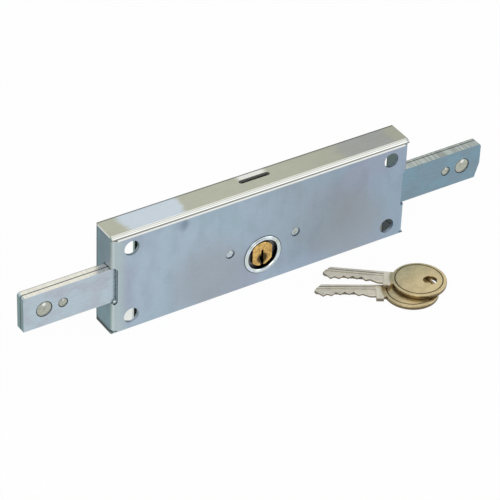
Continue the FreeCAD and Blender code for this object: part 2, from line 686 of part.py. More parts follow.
def cut_rack(body, start, thickness, pitch_line, way):
    """Cuts the gap next to the pinion's axis and repeats it along the rack.

    The way is 1 for a rack with its body above the pitch line and to the left.
    """
    slope = math.tan(math.radians(number("pressure_angle")))
    half_gap = (number("pitch_length") + number("backlash")) / 4
    mouth = number("tooth_out + cut_over")
    root = number("tooth_in")
    middle = way * number("pitch_length")
    corners = []
    for across, up in ((-1, -mouth), (1, -mouth), (1, root), (-1, root)):
        corners.append(FreeCAD.Vector(middle + across * (half_gap - up * slope),
                                      number(pitch_line) + way * up, 0))
    gap = sketch(body, "XZ_Plane", start)
    for first, second in zip(corners, corners[1:] + corners[:1]):
        gap.addGeometry(Part.LineSegment(first, second), False)
    first_gap = pocket(body, gap, thickness)
    pattern = body.newObject("PartDesign::LinearPattern", body.Label + "_teeth")
    pattern.Originals = [first_gap]
    pattern.Direction = (origin_feature(body, "X_Axis"), [""])
    pattern.Reversed = way > 0
    pattern.Mode = "Spacing"
    bind(pattern, "Offset", "pitch_length")
    bind(pattern, "Occurrences", "rack_gaps")
    body.Tip = pattern
    doc.recompute()


def rivet(label, centre, drop, size, dimple=False):
    """A flush rivet, a little below both faces, with its rims broken."""
    profile = [
        ("0", "rivet_front"), (size + "_flat", "rivet_front"),
        (size + "_radius", "rivet_front + rivet_rim"),
        (size + "_radius", "rivet_rear - rivet_rim"),
        (size + "_flat", "rivet_rear"), ("0", "rivet_rear")]
    if dimple:
        profile[:1] = [("0", "rivet_front + rivet_rim"), ("dot_radius", "rivet_front")]
    put(turned(label, profile), centre, up=drop)


def bolt_rivets():
    for name, side in (("left", "-"), ("right", "")):
        rivet(name + "_bolt_hard_pin", side + "big_rivet_x", "0", "big_rivet", name == "left")
        rivet(name + "_bolt_rivet", side + "small_rivet_x", "0", "small_rivet")
        rivet(name + "_bolt_inner_rivet", side + "inner_rivet_x", "-inner_rivet_drop",
              "small_rivet")


# Carrier of the mechanism: guide plate and back cover, joined by posts.

def plate(label, front):
    """Fills the case between its long flanges, with a window for the cylinder."""
    body = new_body(label)
    face = sketch(body, "XZ_Plane", front)
    rectangle(face, "-plate_end", "plate_end", "-flange_end", "flange_end")
    pad(body, face, "plate_sheet")
    barrel = sketch(body, "XZ_Plane", front)
    circle(barrel, "0", "axis_z", "2 * window_radius")
    pocket(body, barrel, "plate_sheet")
    tower = sketch(body, "XZ_Plane", front)
    rectangle(tower, "-tower_window_side", "tower_window_side", "axis_z", "tower_window_top")
    pocket(body, tower, "plate_sheet")
    return body


def guide_plate():
    body = plate("guide_plate", "guide_front")
    notch = sketch(body, "XZ_Plane", "guide_front")
    rectangle(notch, "-guide_notch_side", "guide_notch_side", "flange_end - guide_notch_depth",
              "flange_face")
    pocket(body, notch, "plate_sheet")
    holes = sketch(body, "XZ_Plane", "guide_front")
    circle(holes, "0", "idler_z", "axle_tenon + 2 * rivet_gap")
    for side in SIDES:
        circle(holes, side + "pillar_x", "-pillar_drop", "pillar_diameter + window_margin")
    for across, up in CORNERS:
        circle(holes, across + "guide_pin_x", up + "guide_pin_z", "pin_tenon + 2 * rivet_gap")
        circle(holes, across + "post_x", up + "post_z", "post_tenon + 2 * rivet_gap")
    pocket(body, holes, "plate_sheet")


def back_cover():
    body = plate("back_cover", "cover_front")
    holes = sketch(body, "XZ_Plane", "cover_front")
    for side in SIDES:
        circle(holes, side + "pillar_x", "-pillar_drop", "big_screw_hole")
    for across, up in CORNERS:
        circle(holes, across + "post_x", up + "post_z", "small_screw_hole")
    pocket(body, holes, "plate_sheet")


def at_corners(label, body, across, up):
    """The piece in the upper right corner, and its copies in the other three."""
    put(body, across, up=up)
    left = "-2 * " + across
    down = "-2 * " + up
    repeated(label, body, ((left, "0", "0"), (left, "0", down), ("0", "0", down)))


def at_pillars(label, body):
    put(body, "-pillar_x", up="-pillar_drop")
    repeated(label, body, (("pillar_span", "0", "0"),))


def spacer_posts():
    """Riveted in the guide plate and threaded from the rear."""
    body = turned("spacer_post", (
        ("0", "guide_front + rivet_sink"), ("post_tenon_radius", "guide_front + rivet_sink"),
        ("post_tenon_radius", "guide_rear"), ("post_radius", "guide_rear"),
        ("post_radius", "cover_front"), ("small_thread", "cover_front"),
        ("small_thread", "post_thread_end"), ("0", "post_thread_end")))
    at_corners("spacer_posts", body, "post_x", "post_z")


def guide_pins():
    """Riveted in the guide plate, above and below the bolts."""
    body = turned("guide_pin", (
        ("0", "bolt_front"), ("guide_pin_radius - pin_rim", "bolt_front"),
        ("guide_pin_radius", "bolt_front + pin_rim"), ("guide_pin_radius", "guide_front"),
        ("pin_tenon_radius", "guide_front"), ("pin_tenon_radius", "guide_rear"),
        ("0", "guide_rear")))
    at_corners("guide_pins", body, "guide_pin_x", "guide_pin_z")


def pillars():
    """Riveted in the front sheet and threaded from the rear."""
    body = turned("pillar", (
        ("0", "tenon_sink"), ("tenon_flat", "tenon_sink"),
        ("tenon_radius", "tenon_sink + rivet_rim"), ("tenon_radius", "case_sheet"),
        ("pillar_radius", "case_sheet"), ("pillar_radius", "cover_front"),
        ("big_thread", "cover_front"), ("big_thread", "pillar_thread_end"),
        ("0", "pillar_thread_end")))
    at_pillars("pillars", body)


def screw(label, seat, reach, size):
    """A cheese-head screw with its head on a rear face."""
    top = seat + " + " + size + "_height"
    head = size + "_head / 2"
    body = turned(label, (
        ("0", seat + " - " + reach), (size, seat + " - " + reach), (size, seat),
        (head, seat), (head, top), ("0", top)))
    slot = sketch(body, "XZ_Plane", top + " - slot_depth")
    rectangle(slot, "-" + head + " - cut_over", head + " + cut_over", "-slot_side", "slot_side")
    pocket(body, slot, "slot_depth")
    return body


def screws():
    flange_screw = screw("flange_screw", "flange_rear",
                         "flange_thickness - plate_sheet - screw_reach", "big_screw")
    at_pillars("flange_screws", flange_screw)
    cover_screw = screw("cover_screw", "cover_rear", "plate_sheet - cover_screw_reach",
                        "small_screw")
    at_corners("cover_screws", cover_screw, "post_x", "post_z")


# Gears: one on the plug turns an idler, whose pinion stands between the two racks.

def involute(angle):
    return math.tan(angle) - angle


def tooth_gap(drawing, teeth, middle):
    """Outline of one gap between involute teeth, whose middle is turned from +X by an angle."""
    pressure = math.radians(number("pressure_angle"))
    pitch = number("gear_module") * teeth / 2
    base = pitch * math.cos(pressure)
    root = pitch - number("tooth_in")
    low = max(base, root)
    high = pitch + number("tooth_out + cut_over")
    half_gap = (number("pitch_length") + number("backlash")) / 4 / pitch

    def point(distance, side):
        spread = half_gap - involute(pressure)
        spread += involute(math.acos(base / max(distance, base)))
        angle = middle + side * spread
        return FreeCAD.Vector(distance * math.cos(angle), distance * math.sin(angle), 0)

    outline = []
    for side in (-1, 1):
        outline.append(Part.Arc(point(low, side), point((low + high) / 2, side), point(high, side)))
        if low > root:
            outline.append(Part.LineSegment(point(root, side), point(low, side)))
    for distance in (root, high):
        outline.append(Part.LineSegment(point(distance, -1), point(distance, 1)))
    drawing.addGeometry(outline, False)


def toothed_disc(body, start, length, teeth_name, tooth_up):
    """A disc with its teeth, one tooth or one gap straight up."""
    teeth = round(number(teeth_name))
    disc = sketch(body, "XZ_Plane", start)
    circle(disc, "0", "0", "gear_module * " + teeth_name + " + 2 * tooth_out")
    pad(body, disc, length)
    gap = sketch(body, "XZ_Plane", start)
    tooth_gap(gap, teeth, math.pi / 2 + (math.pi / teeth if tooth_up else 0))
    copies_about(body, pocket(body, gap, length), "Y_Axis", teeth_name)


def plug_gear():
    """Staked on the flattened nose of the plug, with a tooth straight up."""
    body = new_body("plug_gear")
    toothed_disc(body, "gear_front", "gear_thickness", "plug_teeth", True)
    bore = sketch(body, "XZ_Plane", "gear_front")
    flattened_circle(bore, "bore_radius", "nose_side + running_gap")
    pocket(body, bore, "gear_thickness")
    put(body, up="axis_z")


def flattened_circle(drawing, radius, side):
    """A circle about the origin cut off by a flat on the left and one on the right."""
    across = number(side)
    up = math.sqrt(number(radius) ** 2 - across ** 2)
    half_angle = math.asin(across / number(radius))
    round_part = Part.Circle(FreeCAD.Vector(), FreeCAD.Vector(0, 0, 1), number(radius))
    sides = []
    for way in (1, -1):
        start = FreeCAD.Vector(way * across, -way * up, 0)
        end = FreeCAD.Vector(way * across, way * up, 0)
        sides.append(drawing.addGeometry(Part.LineSegment(start, end), False))
        middle = way * math.pi / 2
        arc = Part.ArcOfCircle(round_part, middle - half_angle, middle + half_angle)
        sides.append(drawing.addGeometry(arc, False))
    for item, following in zip(sides, sides[1:] + sides[:1]):
        drawing.addConstraint(Sketcher.Constraint("Coincident", item, 2, following, 1))
    for line, arc, sign in ((sides[0], sides[1], ""), (sides[2], sides[3], "-")):
        drawing.addConstraint(Sketcher.Constraint("Coincident", arc, 3, -1, 1))
        drawing.addConstraint(Sketcher.Constraint("Vertical", line))
        text = sign + "(" + side + ")"
        rule = Sketcher.Constraint("DistanceX", -1, 1, line, 1, across if not sign else -across)
        bind(drawing, "Constraints[%d]" % drawing.addConstraint(rule), text)
        rule = Sketcher.Constraint("Radius", arc, number(radius))
        bind(drawing, "Constraints[%d]" % drawing.addConstraint(rule), radius)


def cluster_gear():
    """Idler gear and pinion in one piece: gap up on the gear, tooth up on the pinion."""
    body = new_body("cluster_gear")
    toothed_disc(body, "gear_front", "gear_thickness", "idler_teeth", False)
    toothed_disc(body, "gear_rear", "pinion_rear - gear_rear", "pinion_teeth", True)
    bore = sketch(body, "XZ_Plane", "gear_front")
    circle(bore, "0", "0", "axle_diameter + 2 * running_gap")
    pocket(body, bore, "pinion_rear - gear_front")
    put(body, up="idler_z")


def idler_axle():
    """Riveted in the guide plate."""
    body = turned("idler_axle", (
        ("0", "axle_front"), ("axle_diameter / 2 - pin_rim", "axle_front"),
        ("axle_diameter / 2", "axle_front + pin_rim"), ("axle_diameter / 2", "guide_front"),
        ("axle_tenon / 2", "guide_front"), ("axle_tenon / 2", "guide_rear"), ("0", "guide_rear")))
    put(body, up="idler_z")


# Cylinder: a pin-tumbler housing on the back cover, and the plug that turns in it.

def cylinder_housing():
    body = new_body("cylinder_housing")
    barrel = sketch(body, "XZ_Plane", "housing_front")
    circle(barrel, "0", "0", "2 * barrel_radius")
    pad(body, barrel, "barrel_length")
    tower = sketch(body, "XZ_Plane", "housing_front")
    rectangle(tower, "-tower_side", "tower_side", "0", "tower_top")
    pad(body, tower, "barrel_length")
    round_edges(body, "tower_corner", "y",
                lambda end: near(abs(end.x), "tower_side") and near(end.z, "tower_top"))
    flange = sketch(body, "XZ_Plane", "cover_rear")
    rectangle(flange, "-flange_side", "flange_side", "-flange_below", "flange_top")
    pad(body, flange, "flange_thickness")
    round_edges(body, "flange_corner", "y", lambda end: near(abs(end.x), "flange_side"))
    bore = sketch(body, "XZ_Plane", "housing_front")
    circle(bore, "0", "0", "2 * bore_radius")
    pocket(body, bore, "barrel_length")
    fixings = sketch(body, "XZ_Plane", "cover_rear")
    for side in SIDES:
        circle(fixings, side + "pillar_x", "pillar_above", "big_screw_hole")
    pocket(body, fixings, "flange_thickness")
    chambers = sketch(body, "XY_Plane")
    pin_row(chambers)
    pocket(body, chambers, "tower_top", reverse=True)
    put(body, up="axis_z")


CUTS = ("cut_one", "cut_two", "cut_three", "cut_four", "cut_five")


def pin_places():
    """Where the pins stand along Y, front to rear."""
    return ["first_pin_y + %d * pin_pitch" % index for index in range(len(CUTS))]


def pin_row(drawing):
    for place in pin_places():
        circle(drawing, "0", place, "2 * chamber_radius")


def cylinder_plug():
    """Round in the housing, flattened at the nose, with a winding keyway open below."""
    body = turned("cylinder_plug", (
        ("0", "nose_sink"), ("plug_radius - pin_rim", "nose_sink"),
        ("plug_radius", "nose_sink + pin_rim"), ("plug_radius", "clip_groove_front"),
        ("clip_seat", "clip_groove_front"), ("clip_seat", "clip_groove_rear"),
        ("plug_radius", "clip_groove_rear"), ("plug_radius", "plug_end"), ("0", "plug_end")))
    for side in SIDES:
        flat = sketch(body, "XZ_Plane")
        rectangle(flat, side + "nose_side", past(side, "plug_radius"), "-plug_radius",
                  "plug_radius")
        pocket(body, flat, "plug_shoulder")
    keyway = sketch(body, "XZ_Plane")
    foot = "-plug_radius - cut_over"
    thin_left = "rib_down_depth - keyway_left"
    thick_left = "spine_down_depth - keyway_left"
    thin_right = "keyway_right - rib_up_depth"
    polygon(keyway, (
        (thin_left, "keyway_top"), (thin_left, "-keyway_bend"), ("-keyway_left", "-keyway_bend"),
        ("-keyway_left", "-keyway_step"), (thick_left, "-keyway_step"), (thick_left, foot),
        ("keyway_right", foot), ("keyway_right", "-keyway_step"), (thin_right, "-keyway_step"),
        (thin_right, "keyway_top")))
    pocket(body, keyway, "plug_end")
    chambers = sketch(body, "XY_Plane", "-chamber_floor")
    pin_row(chambers)
    pocket(body, chambers, "plug_radius + chamber_floor", reverse=True)
    put(body, up="axis_z")


def plug_clip():
    """A spring ring in the plug's groove, open at the keyway."""
    body = turned("plug_clip", (
        ("clip_inner", "clip_front"), ("clip_radius", "clip_front"),
        ("clip_radius", "clip_rear"), ("clip_inner", "clip_rear")))
    opening = sketch(body, "XZ_Plane", "clip_front")
    rectangle(opening, "-keyway_left", "keyway_left", "-clip_radius - cut_over", "0")
    pocket(body, opening, "clip_thickness")
    put(body, up="axis_z")


def upright(label, place, profile):
    """A piece turned about the line straight up through one pin's place."""
    body = doc.addObject("PartDesign::Body", label)
    drawing = sketch(body, "XZ_Plane")
    polygon(drawing, profile)
    feature = body.newObject("PartDesign::Revolution", label + "_turn")
    feature.Profile = drawing
    feature.ReferenceAxis = (origin_feature(body, "Z_Axis"), [""])
    feature.Angle = 360
    doc.recompute()
    put(body, depth=place, up="axis_z")
    return body


def pin(label, place, low, high, point, cone):
    """A pin narrowed to a point at its lower end."""
    return upright(label, place, (
        ("0", low), (point, low), ("pin_radius", low + " + " + cone), ("pin_radius", high),
        ("0", high)))


def group(label, members):
    together = doc.addObject("Part::Compound", label)
    together.Links = members
    return keep(together, label)


def pins():
    """Key pins that reach from their cuts up to the shear line, drivers and stoppers."""
    places = pin_places()
    group("key_pins", [
        pin("key_pin", place, "blade_top - " + cut, "key_pin_top", "pin_point", "pin_cone")
        for place, cut in zip(places, CUTS)])
    for label, low, high in (("driver_pin", "driver_low", "driver_top"),
                             ("chamber_stopper", "stopper_low", "tower_top")):
        group(label + "s", [
            pin(label, place, low, high, "pin_radius - pin_rim", "pin_rim") for place in places])


def pin_springs():
    """Between each driver and its stopper, the sleeve that the coiled wire fills."""
    profile = (
        ("pin_radius - spring_wire", "spring_low"), ("pin_radius", "spring_low"),
        ("pin_radius", "spring_top"), ("pin_radius - spring_wire", "spring_top"))
    group("pin_springs", [upright("pin_spring", place, profile) for place in pin_places()])


# Keys: a round bow and a milled blade, drawn with the tip on -X and the cuts on -Y.

def key(label, across, depth, up, turn):
    body = new_body(label)
    blade = sketch(body, "XY_Plane")
    first_cut = "-stop_front - first_pin"
    edge = [("-stop_front - cut_ramp", "-blade_below")]
    for index, cut in enumerate(CUTS):
        place = first_cut + " - %d * pin_pitch" % index
        edge.append((place, cut + " - blade_below"))
        if index + 1 < len(CUTS):
            mean = " + ".join((cut + " / 2", CUTS[index + 1] + " / 2"))
            edge.append((place + " - pin_pitch / 2", mean + " - crest_rise - blade_below"))
    polygon(blade, [
        ("-key_reach", "-tip_drop"), ("tip_slope - key_reach", "blade_above"), ("0", "blade_above"),
        ("0", "-neck_depth"), ("-stop_rear", "-neck_depth"), ("-stop_rear", "-stop_low"),
        ("-stop_front", "-stop_low"), ("-stop_front", "-blade_below"), *edge,
        ("tip_crest - key_reach", "tip_crest_depth - blade_below")])
    pad(body, blade, "key_thickness")
    mill_blade(body)
    bow = sketch(body, "XY_Plane")
    circle(bow, "0", "0", "key_bow")
    pad(body, bow, "key_thickness")
    hole = sketch(body, "XY_Plane")
    circle(hole, "key_hole_offset", "0", "key_hole")
    pocket(body, hole, "key_thickness", reverse=True)
    chamfer_bow(body)
    clockwise = FreeCAD.Rotation(FreeCAD.Vector(0, 0, -1), number(turn))
    body.Placement = FreeCAD.Placement(FreeCAD.Vector(), clockwise)
    bind(body, ".Placement.Rotation.Angle", turn)
    put(body, across, depth, up)


def mill_blade(body):
    """Long steps of the blade: two below, one above, and a thin groove above."""
    mouth = "-key_reach - cut_over"
    end = "-stop_front"
    cuts = (
        ("0", "rib_down_depth", "-blade_below - cut_over", "-rib_high"),
        ("0", "spine_down_depth", "rib_low", "blade_above + cut_over"),
        ("key_thickness - rib_up_depth", "rib_up_depth", "-blade_below - cut_over", "rib_low"),
        ("key_thickness - groove_depth", "groove_depth", "groove_middle - groove_width / 2",
         "groove_middle + groove_width / 2"))
    for start, depth, low, high in cuts:
        step = sketch(body, "XY_Plane", start)
        rectangle(step, mouth, end, low, high)
        pocket(body, step, depth, reverse=True)


def chamfer_bow(body):
    names = []
    for index, line in enumerate(body.Shape.Edges, start=1):
        if line.Curve.TypeId == "Part::GeomCircle" and near(line.Curve.Radius, "bow_radius"):
            names.append("Edge%d" % index)
    base = body.Tip
    feature = body.newObject("PartDesign::Chamfer", body.Label + "_chamfer")
    feature.Base = (base, names)
    bind(feature, "Size", "bow_edge")
    doc.recompute()


def check(pieces):
    """Stops if anything in the document failed or a piece has no sound solid."""
    for item in doc.Objects:
        if "Invalid" in item.State or "Error" in item.State:
            raise RuntimeError(item.Name + " failed")
    for piece in pieces:
        if piece.Shape.isNull() or not piece.Shape.isValid() or not piece.Shape.Solids:
            raise RuntimeError(piece.Label + " has no sound solid")


case_shell()
collar()
left_bolt()
right_bolt()
bolt_rivets()
guide_plate()
back_cover()
spacer_posts()
guide_pins()
pillars()
screws()
plug_gear()
cluster_gear()
idler_axle()
cylinder_housing()
cylinder_plug()
plug_clip()
pins()
pin_springs()
key("key_lower", "lower_key_x", "lower_key_y", "floor_z", "lower_key_angle")
key("key_upper", "upper_key_x", "upper_key_y", "upper_key_z", "upper_key_angle")
doc.recompute()
check(PIECES)
os.makedirs("parts", exist_ok=True)
for piece in PIECES:
    piece.Shape.exportStep("parts/%s.step" % piece.Label)
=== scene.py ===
"""Finishes, softened edges, camera and studio for a double-bolt garage door lock.

The lock's frame is in metres: X along the case, Y from its face to the rear, Z up.
"""

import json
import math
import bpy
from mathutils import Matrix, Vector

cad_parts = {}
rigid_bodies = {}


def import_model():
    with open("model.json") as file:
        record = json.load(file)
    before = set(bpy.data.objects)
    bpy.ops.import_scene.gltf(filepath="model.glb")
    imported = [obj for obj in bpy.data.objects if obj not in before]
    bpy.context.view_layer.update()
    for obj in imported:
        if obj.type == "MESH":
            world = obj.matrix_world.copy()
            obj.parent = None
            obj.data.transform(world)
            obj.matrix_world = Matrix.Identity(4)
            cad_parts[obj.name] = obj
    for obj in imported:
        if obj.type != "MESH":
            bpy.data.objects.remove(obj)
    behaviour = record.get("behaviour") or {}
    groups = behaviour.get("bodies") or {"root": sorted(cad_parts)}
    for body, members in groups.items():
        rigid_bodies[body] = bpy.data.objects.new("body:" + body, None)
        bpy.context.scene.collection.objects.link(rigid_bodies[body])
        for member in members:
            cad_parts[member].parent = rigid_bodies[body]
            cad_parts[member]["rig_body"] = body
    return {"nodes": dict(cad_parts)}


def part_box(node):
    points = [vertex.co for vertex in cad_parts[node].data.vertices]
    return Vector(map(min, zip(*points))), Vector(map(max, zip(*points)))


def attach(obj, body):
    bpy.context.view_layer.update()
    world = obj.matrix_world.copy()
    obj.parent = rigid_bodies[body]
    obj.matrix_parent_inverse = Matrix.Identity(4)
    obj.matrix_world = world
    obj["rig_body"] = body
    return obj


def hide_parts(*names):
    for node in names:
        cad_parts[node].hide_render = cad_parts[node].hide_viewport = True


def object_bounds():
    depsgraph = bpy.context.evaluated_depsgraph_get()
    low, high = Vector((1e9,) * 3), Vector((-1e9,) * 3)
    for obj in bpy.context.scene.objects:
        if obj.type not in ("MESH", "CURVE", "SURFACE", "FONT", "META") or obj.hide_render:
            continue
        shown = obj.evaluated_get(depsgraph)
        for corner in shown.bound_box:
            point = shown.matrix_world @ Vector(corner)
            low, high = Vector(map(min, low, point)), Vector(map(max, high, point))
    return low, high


bl_info = {
    "name": "Garage Door Lock",
    "version": (1, 0, 0),
    "blender": (4, 5, 0),
    "location": "3D View > Sidebar > Lock",
    "description": "Dresses the frame of a double-bolt garage door lock and lights it",
    "category": "Object",
}

import bpy
from bpy.props import FloatProperty, FloatVectorProperty, PointerProperty
from mathutils import Matrix, Vector

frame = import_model()
FRAME_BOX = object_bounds()
MM = 0.001
FLOOR = FRAME_BOX[0][2]
# The case is centred across and up, and its face lies at Y = 0.
CASE_END, CASE_REAR, CASE_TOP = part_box("case_shell")[1]
SHEET = 1.5 * MM
BEND_RADIUS = 2.3 * MM
BOW_RADIUS = 12.6 * MM


def colour(code):
    """The linear colour of an sRGB hex code such as 9FB0C0."""
    parts = [int(code[place:place + 2], 16) / 255 for place in (0, 2, 4)]
    linear = [part / 12.92 if part <= 0.04045 else ((part + 0.055) / 1.055) ** 2.4
              for part in parts]
    return (*linear, 1.0)


def paint(name, description, code):
    return FloatVectorProperty(name=name, description=description, default=colour(code),
                               size=4, min=0.0, max=1.0, subtype="COLOR")


def length(name, description, millimetres):
    return FloatProperty(name=name, description=description, default=millimetres * MM,
                         min=0.0, precision=5, subtype="DISTANCE", unit="LENGTH")


def turn(name, description, degrees):
    return FloatProperty(name=name, description=description, default=math.radians(degrees),
                         subtype="ANGLE", unit="ROTATION")


class LockSizes(bpy.types.PropertyGroup):
    sheet_edge: length("Sheet edge", "Rounding along the cut edges of the case", 0.12)
    bolt_edge: length("Bolt edge", "Rounding along the edges of both bolts", 0.18)
    key_edge: length("Key edge", "Rounding along the edges of the keys", 0.12)
    brass_edge: length("Brass edge", "Rounding along the edges of the cylinder", 0.12)
    plate_edge: length("Plate edge", "Rounding along the edges of the inner plates", 0.1)
    rim_groove: length("Rim groove", "Radius of the ring cut along the rim of a key's bow", 10.9)
    groove_width: length("Groove width", "Width of the ring cut in a bow", 0.55)
    groove_depth: length("Groove depth", "Depth of the ring cut in a bow", 0.25)


class LockColours(bpy.types.PropertyGroup):
    case_blue: paint("Case blue", "Blue of the passivated zinc, left part of the case", "B2C3D2")
    # Painted shade: the face darkens towards its right end with this deeper blue.
    case_shade: paint("Case shade", "Deeper blue towards the right end of the case", "A2B4C6")
    case_violet: paint("Case violet", "Violet patches of the case", "A6AABC")
    case_teal: paint("Case teal", "Green-blue patches of the case", "A0BAC4")
    case_warm: paint("Case, warm", "Warmer patches low on the face", "A5ADB4")
    case_end: paint("Case end", "Paler, greener zinc at the left end of the face", "BACACC")
    # Also painted shade on the fold at the right end of the case.
    case_mark_and_shade: paint("Case mark", "Handling mark under the upper fold", "66788A")
    # Painted reflection: the warm olive of the long flanges; also a patch tone on turned steel.
    olive_tint_and_reflection: paint("Flange olive", "Warm zinc on the long flanges of the case", "C0C2B3")
    # Painted reflection of a bluish light on the top flange; also a tint in the collar's patches.
    bloom_tint_and_reflection: paint("Flange bloom", "Bluish bloom near the end of the top flange", "D3DEE9")
    # Painted highlight on the folds, behind the slot and on rivet tops; also bare sheared rims.
    burnish_and_highlight: paint("Burnished", "Zinc smoothed by the tools along the folds", "EEF0EC")
    inner_zinc: paint("Inner zinc", "Clean zinc on the inside of the case", "EDF0F0")
    # Painted shade: near black in the slot, the notch, the keyway and the bores of plug and
    # collar.
    recess_shade: paint("Graphite", "Graphite and grease round the keyway", "191512")
    rim_dark: paint("Dark rim", "Sheared rims and the dirt in joints", "4B5150")
    left_bolt: paint("Left bolt", "Zinc of the left bolt", "B9C9D3")
    left_bolt_patch: paint("Left bolt, patch", "Violet grey patches of the left bolt", "B4BAC6")
    right_bolt: paint("Right bolt", "Darker zinc of the right bolt", "8197A5")
    right_bolt_patch: paint("Right bolt, patch", "Green-blue patches of the right bolt", "7F9EAE")
    left_edge: paint("Left bolt, edge", "Cream steel along the sheared edges", "F6F4EA")
    right_edge: paint("Right bolt, edge", "Grey steel along the sheared edges", "B9C2BF")
    rivet: paint("Rivet", "Ground steel of the rivets", "B6BAAE")
    pillar: paint("Pillar end", "Zinc on the riveted ends of the pillars", "C3D1D7")
    inner_steel: paint("Inner steel", "Plates, posts and screws", "B7BBBD")
    gear: paint("Gear", "Oiled sintered steel", "77787A")
    collar: paint("Collar", "Nickel round the keyhole", "CDD7D6")
    brass: paint("Brass", "Cylinder", "DBB670")
    brass_dark: paint("Brass tarnish", "Tarnish on the cylinder", "A47D44")
    key_bow: paint("Key bow", "Warm nickel silver of the bows", "DAC79C")
    key_blade: paint("Key blade", "Bright nickel silver of the milled blades", "FFF6E2")
    # Painted shade in the grooves, along the edges and on the sides of the keys.
    key_painted_shade: paint("Key, deep", "Brown in the grooves and on the edges of the keys", "3A2E20")
    floor: paint("Floor", "Pale studio floor", "FFFFFF")
    # Painted shadow: the floor beside and behind the case, as metal mirrors it.
    mirrored_shadow: paint("Dark card", "What the left end of the case mirrors", "A2B6AD")


class LockStudio(bpy.types.PropertyGroup):
    azimuth: turn("Azimuth", "Camera, left of straight in front", 33.619)
    elevation: turn("Elevation", "Camera, above the horizon", 36.242)
    roll: turn("Roll", "Camera, about its own axis", 2.403)
    distance: length("Distance", "Camera, from the point that it looks at", 1231.9)
    aim: FloatVectorProperty(name="Aim", description="Point that the camera looks at",
                             default=(-7.044 * MM, -0.165 * MM, -4.757 * MM), size=3,
                             precision=5, subtype="TRANSLATION", unit="LENGTH")
    lens: FloatProperty(name="Lens", description="Focal length of the camera", default=198.9,
                        min=1.0, unit="CAMERA")
    key_light: FloatProperty(name="Key light", description="Large soft light at the upper left",
                             default=5.0, min=0.0, unit="POWER")
    fill_light: FloatProperty(name="Fill light", description="Soft light from the right",
                              default=2.5, min=0.0, unit="POWER")
    sky: FloatProperty(name="Sky", description="Even light from all round", default=0.62, min=0.0)
    floor_white: FloatProperty(name="Floor white", description="Own white of the floor in view",
                               default=0.96, min=0.0, max=1.0)
    floor_mirror: FloatProperty(name="Floor mirror", description="Own white of the floor in metal",
                                default=0.9, min=0.0, max=1.0)


def sizes():
    return bpy.context.scene.lock_sizes


def colours():
    return bpy.context.scene.lock_colours


# Modelling.

FLAT = math.radians(0.4)  # faces that lean less than this become one
SMOOTHED = math.radians(34)  # edges that turn less are shaded as a curve
SHARP = math.radians(40)  # edges that turn more are rounded


def only(piece):
    """Selects one object and makes it active."""
    bpy.ops.object.select_all(action="DESELECT")
    piece.select_set(True)
    bpy.context.view_layer.objects.active = piece


def merged_copy(node, name):
    """A copy of a frame node whose triangles are joined and whose flats are whole faces."""
    source = frame["nodes"][node]
    piece = bpy.data.objects.new(name, source.data.copy())
    bpy.context.collection.objects.link(piece)
    only(piece)
    bpy.ops.mesh.customdata_custom_splitnormals_clear()
    bpy.ops.object.mode_set(mode="EDIT")
    bpy.ops.mesh.select_all(action="SELECT")
    bpy.ops.mesh.remove_doubles(threshold=0.001 * MM)
    bpy.ops.mesh.dissolve_limited(angle_limit=FLAT)
    bpy.ops.object.mode_set(mode="OBJECT")
    return piece


def soften(piece, width):
    """Rounds the sharp edges and keeps the flats flat."""
    only(piece)
    bevel = piece.modifiers.new("Softened edges", "BEVEL")
    bevel.width = width
    bevel.segments = 2
    bevel.limit_method = "ANGLE"
    bevel.angle_limit = SHARP
    bpy.ops.object.modifier_apply(modifier=bevel.name)
    bpy.ops.object.shade_smooth_by_angle(angle=SMOOTHED)
    weighted = piece.modifiers.new("Flat faces", "WEIGHTED_NORMAL")
    weighted.keep_sharp = True
    bpy.ops.object.modifier_apply(modifier=weighted.name)


def stands_for(piece, node, material):
    """Hands a finished piece over in the place of a frame node."""
    piece.data.materials.clear()
    piece.data.materials.append(material)
    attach(piece, frame["nodes"][node]["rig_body"])
    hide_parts(node)


def softened_node(node, name, width, material):
    piece = merged_copy(node, name)
    soften(piece, width)
    stands_for(piece, node, material)


def dress(nodes, material):
    """Gives frame nodes whose shape stays a better finish."""
    for node in nodes:
        piece = frame["nodes"][node]
        for holder in piece.material_slots:
            holder.material = material


def turned_ring(name, corners, centre, upright):
    """A closed ring about Z, or about Y, through (radius, along) corners in metres."""
    along_axis = Vector((0, 0, 1)) if upright else Vector((0, 1, 0))
    lean = (0, 0, 0) if upright else (math.pi / 2, 0, 0)
    radius, along = corners[0]
    bpy.ops.object.select_all(action="DESELECT")
    bpy.ops.mesh.primitive_circle_add(vertices=128, radius=radius, fill_type="NOTHING",
                                      location=centre + along_axis * along, rotation=lean)
    piece = bpy.context.active_object
    piece.name = name
    bpy.ops.object.transform_apply(location=True, rotation=True, scale=True)
    bpy.ops.object.mode_set(mode="EDIT")
    bpy.ops.mesh.select_all(action="SELECT")
    for next_radius, next_along in corners[1:] + corners[:1]:
        step = along_axis * (next_along - along)
        bpy.ops.mesh.extrude_edges_move(TRANSFORM_OT_translate={"value": step})
        growth = next_radius / radius
        value = (growth, growth, 1) if upright else (growth, 1, growth)
        bpy.ops.transform.resize(value=value, center_override=centre)
        radius, along = next_radius, next_along
    bpy.ops.mesh.select_all(action="SELECT")
    bpy.ops.mesh.remove_doubles(threshold=0.002 * MM)
    bpy.ops.mesh.normals_make_consistent(inside=False)
    bpy.ops.object.mode_set(mode="OBJECT")
    return piece


# Finishes: each starts from the real metal and from how its surface was made.

SMOOTH = {"interpolation_type": "SMOOTHSTEP"}
COLOURS = {"data_type": "RGBA"}
SPREAD = (0.3, 0.7)  # the levels between which most of a noise lies


